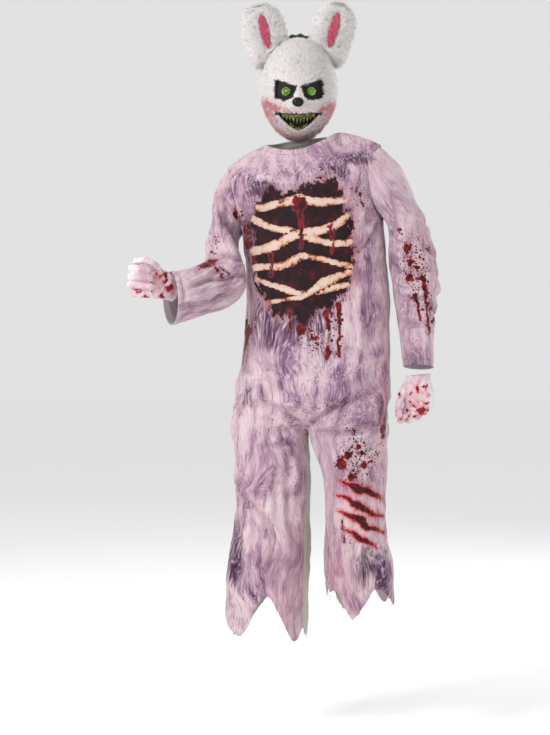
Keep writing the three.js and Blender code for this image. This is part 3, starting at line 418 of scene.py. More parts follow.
@dataclass(frozen=True)
class PrintedKnit(Finish):
    """Brushed polyester knit, transfer printed: matt, with a faint nap, and flat printed fur."""

    name: str = "printed_brushed_knit"
    roughness: float = 0.78
    cream: str = "#F0E6E5"
    pink: str = "#DDC7D0"
    lilac: str = "#B596AE"
    blush: str = "#D7929B"
    blood: str = "#6A0A11"
    blood_dark: str = "#2C060B"
    red: str = "#B51F28"
    hole: str = "#1A0A12"
    hole_red: str = "#5E1220"
    strip: str = "#F3E6D2"

    def surface(self, add: Add) -> dict:
        """Mixes printed fur, dark tufts, stains, slashes and the torn hole with its strips, and paints shade into the
        folds.

        Args:
            add: The function that adds a node to this material.

        Returns:
            What the shader's sockets get.
        """
        grain = add("Attribute", out="Vector", attribute_name="grain")
        marks = {
            name: add("Attribute", attribute_name=name)
            for name in ("dark", "pale", "rosy", "blood", "spatter", "slash", "hole", "strip")
        }
        # The fur's lie turns over about 180 mm.
        turn = add("TexNoise", {"Vector": grain, "Scale": 5.5, "Detail": 1.0}, "Color")
        turn = add("VectorMath", {0: turn, 1: (0.5, 0.5, 0.5)}, operation="SUBTRACT")
        bent = add("VectorMath", {0: turn, 1: (0.13, 0.13, 0.03), 2: grain}, operation="MULTIPLY_ADD")
        # Printed hairs are 3 to 5 mm apart and 40 mm long, and locks 30 mm apart.
        hairs = add("Mapping", {"Vector": bent, "Scale": (1.0, 1.0, 0.085)})
        hairs = add("TexNoise", {"Vector": hairs, "Scale": 230.0, "Detail": 2.5, "Roughness": 0.6})
        locks = add("Mapping", {"Vector": bent, "Scale": (1.0, 1.0, 0.2)})
        locks = add("TexNoise", {"Vector": locks, "Scale": 42.0, "Detail": 3.0, "Roughness": 0.55})
        tufts = add("TexNoise", {"Vector": bent, "Scale": 8.5, "Detail": 2.0, "Roughness": 0.6})
        depth = add(
            "Math", {0: tufts, 1: 0.9, 2: add("Math", {0: locks, 1: 0.75}, operation="MULTIPLY")},
            operation="MULTIPLY_ADD",
        )
        depth = add("Math", {0: hairs, 1: 0.35, 2: depth}, operation="MULTIPLY_ADD")
        colour = add(
            "ValToRGB", {0: add("MapRange", {0: depth, 1: 0.76, 2: 1.31})},
            stops=[(0.0, "#7E617C"), (0.24, self.lilac), (0.5, self.pink), (0.8, self.cream)],
        )
        light_hair = add("MapRange", {0: hairs, 1: 0.56, 2: 0.68, 3: 0.0, 4: 0.55})
        colour = add("Mix", {0: light_hair, 6: colour, 7: "#F7F1F1"})
        dark_hair = add("MapRange", {0: hairs, 1: 0.44, 2: 0.34, 3: 0.0, 4: 0.42})
        colour = add("Mix", {0: dark_hair, 6: colour, 7: "#7B5F78"})
        # Pale cloth keeps only faint hairs.
        pale = add("Math", {0: marks["pale"], 1: 0.8}, operation="MULTIPLY")
        colour = add("Mix", {0: pale, 6: colour, 7: "#E2D5DA"})
        rosy = add(
            "Math", {0: marks["rosy"], 1: add("MapRange", {0: locks, 1: 0.35, 2: 0.65, 3: 0.35, 4: 0.8})},
            operation="MULTIPLY",
        )
        colour = add("Mix", {0: rosy, 6: colour, 7: self.blush})
        # Dark roots stand between light locks.
        roots = add("Math", {0: hairs, 1: 0.9, 2: locks}, operation="MULTIPLY_ADD")
        roots = add(
            "Math", {0: marks["dark"], 1: 1.0, 2: add("Math", {0: 0.72, 1: roots}, operation="SUBTRACT")},
            operation="MULTIPLY_ADD",
        )
        roots = add("MapRange", {0: roots, 1: 0.0, 2: 0.5, 3: 0.0, 4: 0.92})
        shade = add(
            "ValToRGB", {0: hairs}, stops=[(0.4, "#3A2238"), (0.5, "#5C4059"), (0.58, "#8F7190"), (0.68, "#D5BFD0")]
        )
        colour = add("Mix", {0: roots, 6: colour, 7: shade})
        marks |= {"grain": grain, "hairs": hairs, "locks": locks}
        for paint in (self.hole_colour, self.slash_colour, self.blood_colour):
            colour = paint(add, colour, marks)
        colour = hem_stitches(add, colour)
        # The print is thin: the cloth greys it. Painted shade: the deeper a fold's trough, the darker it is painted.
        fold = add("Attribute", attribute_name="fold")
        colour = add("Mix", {0: 1.0, 6: colour, 7: "#DED2D7"}, blend_type="MULTIPLY")
        colour = add(
            "Mix", {0: add("MapRange", {0: fold, 1: 1.0, 2: -7.0, 3: 0.0, 4: 0.55}), 6: colour, 7: "#C9A9BE"},
            blend_type="MULTIPLY",
        )
        # Loops of the knit are 1.5 mm.
        knit = add("TexNoise", {"Vector": grain, "Scale": 620.0, "Detail": 1.0})
        rumple = add("TexNoise", {"Vector": grain, "Scale": 38.0, "Detail": 3.0, "Roughness": 0.5})
        bump = add("Bump", {"Strength": 0.25, "Distance": 0.0004, "Height": knit})
        bump = add("Bump", {"Strength": 0.35, "Distance": 0.0035, "Height": rumple, "Normal": bump})
        return {
            "Base Color": colour, "Normal": bump, "Sheen Weight": 0.2, "Sheen Roughness": 0.45,
            "Specular IOR Level": 0.25,
        }

    def hole_colour(self, add: Add, colour: NodeSocket, marks: dict) -> NodeSocket:
        """Paints a dark torn hole with wrapped strips over it, its rim broken by locks of fur.

        Args:
            add: The function that adds a node.
            colour: The cloth's colour so far.
            marks: The patterns to mix from, by name.

        Returns:
            The colour with the hole over it.
        """
        grain = marks["grain"]
        ragged = add("Math", {0: marks["hairs"], 1: marks["locks"]}, operation="ADD")
        ragged = add("Math", {0: ragged, 1: 1.0}, operation="SUBTRACT")
        deep = add("Math", {0: ragged, 1: 24.0, 2: marks["hole"]}, operation="MULTIPLY_ADD")
        torn = add("TexNoise", {"Vector": grain, "Scale": 62.0, "Detail": 3.0, "Roughness": 0.7})
        deep = add(
            "Math", {0: add("Math", {0: torn, 1: 0.5}, operation="SUBTRACT"), 1: 13.0, 2: deep},
            operation="MULTIPLY_ADD",
        )
        rim = add("MapRange", {0: deep, 1: -4.0, 2: 2.0, 3: 0.0, 4: 0.75})
        colour = add("Mix", {0: rim, 6: colour, 7: "#9A3442"})
        mottle = add("TexNoise", {"Vector": grain, "Scale": 34.0, "Detail": 4.0, "Roughness": 0.65})
        inside = add("ValToRGB", {0: mottle}, stops=[(0.38, self.hole), (0.56, "#300D18"), (0.68, self.hole_red)])
        colour = add("Mix", {0: add("MapRange", {0: deep, 1: -0.6, 2: 1.6}), 6: colour, 7: inside})
        frayed = add("TexNoise", {"Vector": grain, "Scale": 150.0, "Detail": 2.0})
        edge = add(
            "Math", {0: add("Math", {0: frayed, 1: 0.5}, operation="SUBTRACT"), 1: 2.4, 2: marks["strip"]},
            operation="MULTIPLY_ADD",
        )
        tone = add(
            "Math", {0: add("Math", {0: mottle, 1: 0.5}, operation="SUBTRACT"), 1: 15.0, 2: edge},
            operation="MULTIPLY_ADD",
        )
        tone = add(
            "Math", {0: add("Math", {0: frayed, 1: 0.5}, operation="SUBTRACT"), 1: 3.0, 2: tone},
            operation="MULTIPLY_ADD",
        )
        strip = add(
            "ValToRGB", {0: add("MapRange", {0: tone, 1: -1.4, 2: 4.8})},
            stops=[(0.0, "#5A1712"), (0.16, "#9A4A2A"), (0.34, "#D79B6A"), (0.55, "#EBD3B8"), (0.85, self.strip)],
        )
        return add("Mix", {0: add("MapRange", {0: edge, 1: 0.0, 2: 0.5}), 6: colour, 7: strip})

    def slash_colour(self, add: Add, colour: NodeSocket, marks: dict) -> NodeSocket:
        """Paints slashes: a sore pink border, a bright rim and a dark mottled middle.

        Args:
            add: The function that adds a node.
            colour: The cloth's colour so far.
            marks: The patterns to mix from, by name.

        Returns:
            The colour with the slashes over it.
        """
        grain = marks["grain"]
        rough = add("TexNoise", {"Vector": grain, "Scale": 90.0, "Detail": 3.0, "Roughness": 0.7})
        deep = add(
            "Math", {0: add("Math", {0: rough, 1: 0.5}, operation="SUBTRACT"), 1: 5.5, 2: marks["slash"]},
            operation="MULTIPLY_ADD",
        )
        colour = add(
            "Mix", {0: add("MapRange", {0: deep, 1: -3.2, 2: -0.3, 3: 0.0, 4: 0.7}), 6: colour, 7: "#D86470"}
        )
        colour = add("Mix", {0: add("MapRange", {0: deep, 1: -0.5, 2: 0.2}), 6: colour, 7: self.red})
        fleck = add("TexNoise", {"Vector": grain, "Scale": 260.0, "Detail": 2.0})
        core = add("ValToRGB", {0: fleck}, stops=[(0.4, "#1D0809"), (0.55, "#3D0C10"), (0.66, "#9A2A22")])
        return add("Mix", {0: add("MapRange", {0: deep, 1: 0.6, 2: 1.2}), 6: colour, 7: core})

    def blood_colour(self, add: Add, colour: NodeSocket, marks: dict) -> NodeSocket:
        """Paints specks of 1 to 2 mm, drops of 3 to 8 mm, and the larger stains and runs.

        Args:
            add: The function that adds a node.
            colour: The cloth's colour so far.
            marks: The patterns to mix from, by name.

        Returns:
            The colour with the stains over it.
        """
        grain = marks["grain"]
        near = add("MapRange", {0: marks["blood"], 1: -8.0, 2: -0.5, 3: 0.0, 4: 0.8})
        for scale, most, code, share in (
            (240.0, 0.8, "#1F0A10", marks["spatter"]), (130.0, 0.62, "#33090F", marks["spatter"]),
            (105.0, 0.85, "#5A0B12", near),
        ):
            cell = add("TexVoronoi", {"Vector": grain, "Scale": scale, "Randomness": 1.0})
            chance = add("TexVoronoi", {"Vector": grain, "Scale": scale, "Randomness": 1.0}, "Color")
            size = add(
                "Math", {0: chance, 1: 1.0, 2: add("Math", {0: share, 1: 1.0}, operation="SUBTRACT")},
                operation="MULTIPLY_ADD",
            )
            size = add("Math", {0: size, 1: most}, operation="MULTIPLY")
            inside = add("Math", {0: cell, 1: size}, operation="LESS_THAN")
            colour = add("Mix", {0: inside, 6: colour, 7: code})
        edge = add("TexNoise", {"Vector": grain, "Scale": 120.0, "Detail": 3.0, "Roughness": 0.65})
        deep = add(
            "Math", {0: add("Math", {0: edge, 1: 0.5}, operation="SUBTRACT"), 1: 4.2, 2: marks["blood"]},
            operation="MULTIPLY_ADD",
        )
        pool = add("TexNoise", {"Vector": grain, "Scale": 70.0, "Detail": 2.0})
        stain = add("ValToRGB", {0: pool}, stops=[(0.35, self.blood_dark), (0.5, self.blood), (0.66, "#9B1A22")])
        colour = add(
            "Mix", {0: add("MapRange", {0: deep, 1: -2.0, 2: 0.2, 3: 0.0, 4: 0.35}), 6: colour, 7: "#C0616B"}
        )
        return add("Mix", {0: add("MapRange", {0: deep, 1: 0.0, 2: 0.4}), 6: colour, 7: stain})


@dataclass(frozen=True)
class PlainKnit(Finish):
    """Undyed-looking polyester knit: matt, even, with fine ribs down the wales."""

    name: str = "plain_knit"
    roughness: float = 0.82

    def surface(self, add: Add) -> dict:
        """Mixes the plain cloth from its wales and a faint uneven tone.

        Args:
            add: The function that adds a node to this material.

        Returns:
            What the shader's sockets get.
        """
        place = add("TexCoord")
        tone = add("TexNoise", {"Vector": place, "Scale": 14.0, "Detail": 4.0, "Roughness": 0.6})
        colour = add("Mix", {0: add("MapRange", {0: tone, 1: 0.3, 2: 0.7}), 6: "#7A7470", 7: "#928C87"})
        # Wales are 1.5 mm apart, drawn at 3 mm so that they show.
        wales = add("Mapping", {"Vector": place, "Scale": (1.0, 1.0, 0.15)})
        wales = add("TexNoise", {"Vector": wales, "Scale": 420.0, "Detail": 1.0})
        colour = add(
            "Mix", {0: add("MapRange", {0: wales, 1: 0.3, 2: 0.7, 3: 0.0, 4: 0.16}), 6: colour, 7: "#6C6762"}
        )
        colour = hem_stitches(add, colour)
        rumple = add("TexNoise", {"Vector": place, "Scale": 34.0, "Detail": 3.0, "Roughness": 0.5})
        bump = add("Bump", {"Strength": 0.3, "Distance": 0.0004, "Height": wales})
        bump = add("Bump", {"Strength": 0.35, "Distance": 0.0035, "Height": rumple, "Normal": bump})
        return {
            "Base Color": colour, "Normal": bump, "Sheen Weight": 0.15, "Sheen Roughness": 0.5,
            "Specular IOR Level": 0.2,
        }


@dataclass(frozen=True)
class WrongSide(Finish):
    """The unprinted side of the printed knit: white with the print faintly through it."""

    name: str = "printed_knit_wrong_side"
    roughness: float = 0.85

    def surface(self, add: Add) -> dict:
        """Mixes white knit with a faint lilac shadow of the print.

        Args:
            add: The function that adds a node to this material.

        Returns:
            What the shader's sockets get.
        """
        place = add("TexCoord")
        tone = add("TexNoise", {"Vector": place, "Scale": 9.0, "Detail": 3.0})
        colour = add("Mix", {0: add("MapRange", {0: tone, 1: 0.35, 2: 0.7}), 6: "#C4BBC0", 7: "#AFA0AC"})
        knit = add("TexNoise", {"Vector": place, "Scale": 520.0, "Detail": 1.0})
        bump = add("Bump", {"Strength": 0.25, "Distance": 0.0004, "Height": knit})
        return {"Base Color": colour, "Normal": bump, "Specular IOR Level": 0.2}


@dataclass(frozen=True)
class Plush(Finish):
    """Acrylic pile: soft and light, darker at its roots, stained where tint is above zero and black below."""

    name: str = "acrylic_plush"
    tip: str = "#FCF9F7"
    root: str = "#E6DDDC"
    stain: str = "#E08791"
    fleck: str = "#B02C3B"
    roughness: float = 0.65

    def surface(self, add: Add) -> dict:
        """Mixes root, tip and stain by the attributes along, tint and luck of each strand.

        Args:
            add: The function that adds a node to this material.

        Returns:
            What the shader's sockets get.
        """
        along = add("Attribute", attribute_name="along")
        tint = add("Attribute", attribute_name="tint")
        luck = add("Attribute", attribute_name="luck")
        colour = add("Mix", {0: along, 6: self.root, 7: self.tip})
        spray = add("Mix", {0: luck, 6: self.stain, 7: self.fleck})
        colour = add("Mix", {0: tint, 6: colour, 7: spray})
        black_round_holes = add("MapRange", {0: tint, 1: 0.0, 2: -1.0})
        colour = add("Mix", {0: black_round_holes, 6: colour, 7: "#0D0B0C"})
        return {
            "Base Color": colour, "Sheen Weight": 0.35, "Sheen Roughness": 0.4, "Specular IOR Level": 0.2,
            "Subsurface Weight": 0.15, "Subsurface Radius": (0.006, 0.005, 0.005),
        }


@dataclass(frozen=True)
class PlushGround(Finish):
    """The knitted ground under the pile, nearly as pale as it, so that thin places don't show."""

    name: str = "plush_ground"
    colour: str = "#EFE7E5"
    stain: str = "#D98088"
    roughness: float = 0.9

    def surface(self, add: Add) -> dict:
        """Mixes the ground with the sprayed stain over it.

        Args:
            add: The function that adds a node to this material.

        Returns:
            What the shader's sockets get.
        """
        tint = add("Attribute", attribute_name="tint")
        place = add("TexCoord")
        nap = add("TexNoise", {"Vector": place, "Scale": 330.0, "Detail": 2.0})
        colour = add("Mix", {0: add("MapRange", {0: nap, 1: 0.35, 2: 0.65}), 6: "#D9CDCC", 7: self.colour})
        colour = add("Mix", {0: tint, 6: colour, 7: self.stain})
        black_round_holes = add("MapRange", {0: tint, 1: 0.0, 2: -1.0})
        colour = add("Mix", {0: black_round_holes, 6: colour, 7: "#0D0B0C"})
        bump = add("Bump", {"Strength": 0.6, "Distance": 0.0015, "Height": nap})
        return {"Base Color": colour, "Normal": bump, "Sheen Weight": 0.3, "Specular IOR Level": 0.2}


@dataclass(frozen=True)
class GloveKnit(Finish):
    """Thin stretch knit, pale pink, with a dye stain rubbed into it."""

    name: str = "stretch_glove_knit"
    cream: str = "#E2D6DC"
    pink: str = "#C9A2B0"
    red: str = "#9C1420"
    roughness: float = 0.75

    def surface(self, add: Add) -> dict:
        """Mixes the cloth with rubbed pink, red blots and dark red specks.

        Args:
            add: The function that adds a node to this material.

        Returns:
            What the shader's sockets get.
        """
        place = add("TexCoord")
        stain = add("Attribute", attribute_name="blood")
        cloud = add("TexNoise", {"Vector": place, "Scale": 22.0, "Detail": 3.0, "Roughness": 0.6})
        colour = add("Mix", {0: add("MapRange", {0: cloud, 1: 0.4, 2: 0.68}), 6: self.cream, 7: self.pink})
        blot = add("TexNoise", {"Vector": place, "Scale": 75.0, "Detail": 3.0, "Roughness": 0.55})
        deep = add(
            "Math", {0: add("Math", {0: blot, 1: 0.53}, operation="SUBTRACT"), 1: 17.0, 2: stain},
            operation="MULTIPLY_ADD",
        )
        colour = add(
            "Mix", {0: add("MapRange", {0: deep, 1: -3.2, 2: 0.0, 3: 0.0, 4: 0.75}), 6: colour, 7: "#D5707C"}
        )
        wet = add("ValToRGB", {0: cloud}, stops=[(0.42, "#45070D"), (0.58, self.red)])
        colour = add("Mix", {0: add("MapRange", {0: deep, 1: 0.0, 2: 0.5}), 6: colour, 7: wet})
        knit = add("TexNoise", {"Vector": place, "Scale": 560.0, "Detail": 1.0})
        folds = add("TexNoise", {"Vector": place, "Scale": 75.0, "Detail": 2.0})
        bump = add("Bump", {"Strength": 0.3, "Distance": 0.0004, "Height": knit})
        bump = add("Bump", {"Strength": 0.35, "Distance": 0.002, "Height": folds, "Normal": bump})
        return {"Base Color": colour, "Normal": bump, "Sheen Weight": 0.2, "Specular IOR Level": 0.3}


@dataclass(frozen=True)
class BlackNet(Finish):
    """Fine black polyester net over a dark inside: it swallows light but for its threads."""

    name: str = "black_polyester_net"
    roughness: float = 0.6

    def surface(self, add: Add) -> dict:
        """Draws the net's threads 2.5 mm apart, coarser than the real 1 mm so that they show.

        Args:
            add: The function that adds a node to this material.

        Returns:
            What the shader's sockets get.
        """
        place = add("TexCoord")
        cell = add("TexVoronoi", {"Vector": place, "Scale": 400.0, "Randomness": 0.15})
        thread = add("MapRange", {0: cell, 1: 0.42, 2: 0.6})
        colour = add("Mix", {0: thread, 6: "#050505", 7: "#1B1B1C"})
        bump = add("Bump", {"Strength": 0.5, "Distance": 0.0006, "Height": thread})
        return {"Base Color": colour, "Normal": bump, "Specular IOR Level": 0.3}


@dataclass(frozen=True)
class PaintedFoam(Finish):
    """Moulded latex foam, brushed yellow-green and rubbed dark in its hollows."""

    name: str = "moulded_latex_foam"
    roughness: float = 0.42

    def surface(self, add: Add) -> dict:
        """Mixes green paint with olive shadows and pale rubbed ridges.

        Args:
            add: The function that adds a node to this material.

        Returns:
            What the shader's sockets get.
        """
        place = add("TexCoord")
        streak = add("Mapping", {"Vector": place, "Scale": (1.0, 1.0, 0.35)})
        streak = add("TexNoise", {"Vector": streak, "Scale": 190.0, "Detail": 3.0, "Roughness": 0.7})
        colour = add(
            "ValToRGB", {0: streak}, stops=[(0.34, "#101304"), (0.46, "#39450D"), (0.57, "#66761C"), (0.7, "#A5A552")]
        )
        bump = add("Bump", {"Strength": 0.4, "Distance": 0.0006, "Height": streak})
        return {"Base Color": colour, "Normal": bump, "Coat Weight": 0.25, "Coat Roughness": 0.25}


@dataclass(frozen=True)
class GreenLens(Finish):
    """Clear fluorescent acrylic, which glows at its edges and takes a sharp highlight; its glow is painted, as a faint
    even light of its own.
    """

    name: str = "fluorescent_acrylic"
    roughness: float = 0.22

    def surface(self, add: Add) -> dict:
        """Mixes bright green with darker moulding marks, and a faint painted glow of its own.

        Args:
            add: The function that adds a node to this material.

        Returns:
            What the shader's sockets get.
        """
        place = add("TexCoord")
        cloud = add("TexNoise", {"Vector": place, "Scale": 170.0, "Detail": 2.0})
        colour = add("ValToRGB", {0: cloud}, stops=[(0.35, "#2C4D0C"), (0.5, "#5C8218"), (0.65, "#93B02C")])
        # Painted glow: a faint green emission, though the lens is no lamp.
        return {
            "Base Color": colour, "Emission Color": "#7FA81C", "Emission Strength": 0.05, "Coat Weight": 0.5,
            "Coat Roughness": 0.1,
        }


@dataclass(frozen=True)
class MouldedNose(Finish):
    """Moulded ABS with a leather grain: black, satin, with small sharp highlights."""

    name: str = "grained_black_abs"
    roughness: float = 0.3

    def surface(self, add: Add) -> dict:
        """Mixes near black with a 3 mm pebble grain.

        Args:
            add: The function that adds a node to this material.

        Returns:
            What the shader's sockets get.
        """
        place = add("TexCoord")
        grain = add("TexVoronoi", {"Vector": place, "Scale": 330.0})
        worn = add("TexNoise", {"Vector": place, "Scale": 120.0, "Detail": 3.0})
        colour = add("Mix", {0: add("MapRange", {0: worn, 1: 0.55, 2: 0.75}), 6: "#060606", 7: "#161517"})
        bump = add("Bump", {"Strength": 0.45, "Distance": 0.0008, "Height": grain})
        return {"Base Color": colour, "Normal": bump, "Specular IOR Level": 0.35}


@dataclass(frozen=True)
class WovenElastic(Finish):
    """Woven rubber elastic: black yarn in ribs along the band, slightly shiny on their crests, where a highlight is
    painted.
    """

    name: str = "woven_elastic"
    roughness: float = 0.5

    def surface(self, add: Add) -> dict:
        """Draws ribs 3 mm apart, coarser than the real 1.2 mm so that they show.

        Args:
            add: The function that adds a node to this material.

        Returns:
            What the shader's sockets get.
        """
        place = add("TexCoord")
        rib = add("TexWave", {"Vector": place, "Scale": 52.0, "Distortion": 0.6, "Detail": 1.0}, bands_direction="Z")
        weft = add("TexNoise", {"Vector": place, "Scale": 480.0, "Detail": 1.0})
        # Painted highlight: the ribs' crests are coloured a little lighter, for their shine.
        colour = add("Mix", {0: rib, 6: "#040405", 7: "#141416"})
        bump = add("Bump", {"Strength": 0.6, "Distance": 0.0006, "Height": rib})
        bump = add("Bump", {"Strength": 0.3, "Distance": 0.0004, "Height": weft, "Normal": bump})
        return {"Base Color": colour, "Normal": bump, "Specular IOR Level": 0.25}


@dataclass(frozen=True)
class Thread(Finish):
    """Spun polyester sewing thread and pulled knit yarn: matt and slightly fuzzy."""

    name: str = "spun_polyester_thread"
    colour: str = "#BCA4B4"
    roughness: float = 0.8

    def surface(self, add: Add) -> dict:
        """Mixes the yarn's colour with its darker twists.

        Args:
            add: The function that adds a node to this material.

        Returns:
            What the shader's sockets get.
        """
        place = add("TexCoord")
        twist = add("TexNoise", {"Vector": place, "Scale": 800.0})
        colour = add("Mix", {0: add("MapRange", {0: twist, 1: 0.35, 2: 0.65}), 6: "#8D7688", 7: self.colour})
        return {"Base Color": colour, "Specular IOR Level": 0.2}


@dataclass(frozen=True)
class PaleFloor(Finish):
    """Smooth white studio paper."""

    name: str = "studio_paper"
    roughness: float = 0.9

    def surface(self, add: Add) -> dict:
        """Mixes plain paper with the faintest unevenness.

        Args:
            add: The function that adds a node to this material.

        Returns:
            What the shader's sockets get.
        """
        place = add("TexCoord")
        tone = add("TexNoise", {"Vector": place, "Scale": 2.0})
        colour = add("Mix", {0: tone, 6: "#FBFBFB", 7: "#FDFDFD"})
        return {"Base Color": colour, "Specular IOR Level": 0.1}


# Marks of the print, in spots of the front view


@dataclass(frozen=True)
class Run:
    """A stroke, run or strip along a line, with half widths at its start, middle and end."""

    path: tuple
    start: float = 1.0
    middle: float = 1.0
    end: float = 1.0

    def depth(self, spots: np.ndarray) -> np.ndarray:
        """Depth of places inside the stroke, below zero outside it."""
        far, share = line_distance(spots, self.path)
        return np.interp(share, (0, 0.5, 1), (self.start, self.middle, self.end)) - far


@dataclass(frozen=True)
class Blot:
    """An oval blot: its centre and its half sizes across and down."""

    at: tuple[float, float]
    across: float
    down: float

    def depth(self, spots: np.ndarray) -> np.ndarray:
        """Depth of places inside the blot, below zero outside it."""
        d = (spots - np.array(self.at)) / np.array((self.across, self.down))
        return (1 - np.linalg.norm(d, axis=1)) * min(self.across, self.down)


@dataclass(frozen=True)
class Haze:
    """A soft oval area with an amount from 0 to 1."""

    at: tuple[float, float]
    across: float
    down: float
    amount: float = 1.0

    def share(self, spots: np.ndarray) -> np.ndarray:
        """The amount at each place."""
        d = (spots - np.array(self.at)) / np.array((self.across, self.down))
        return self.amount * smoothstep(1.35, 0.35, np.linalg.norm(d, axis=1))


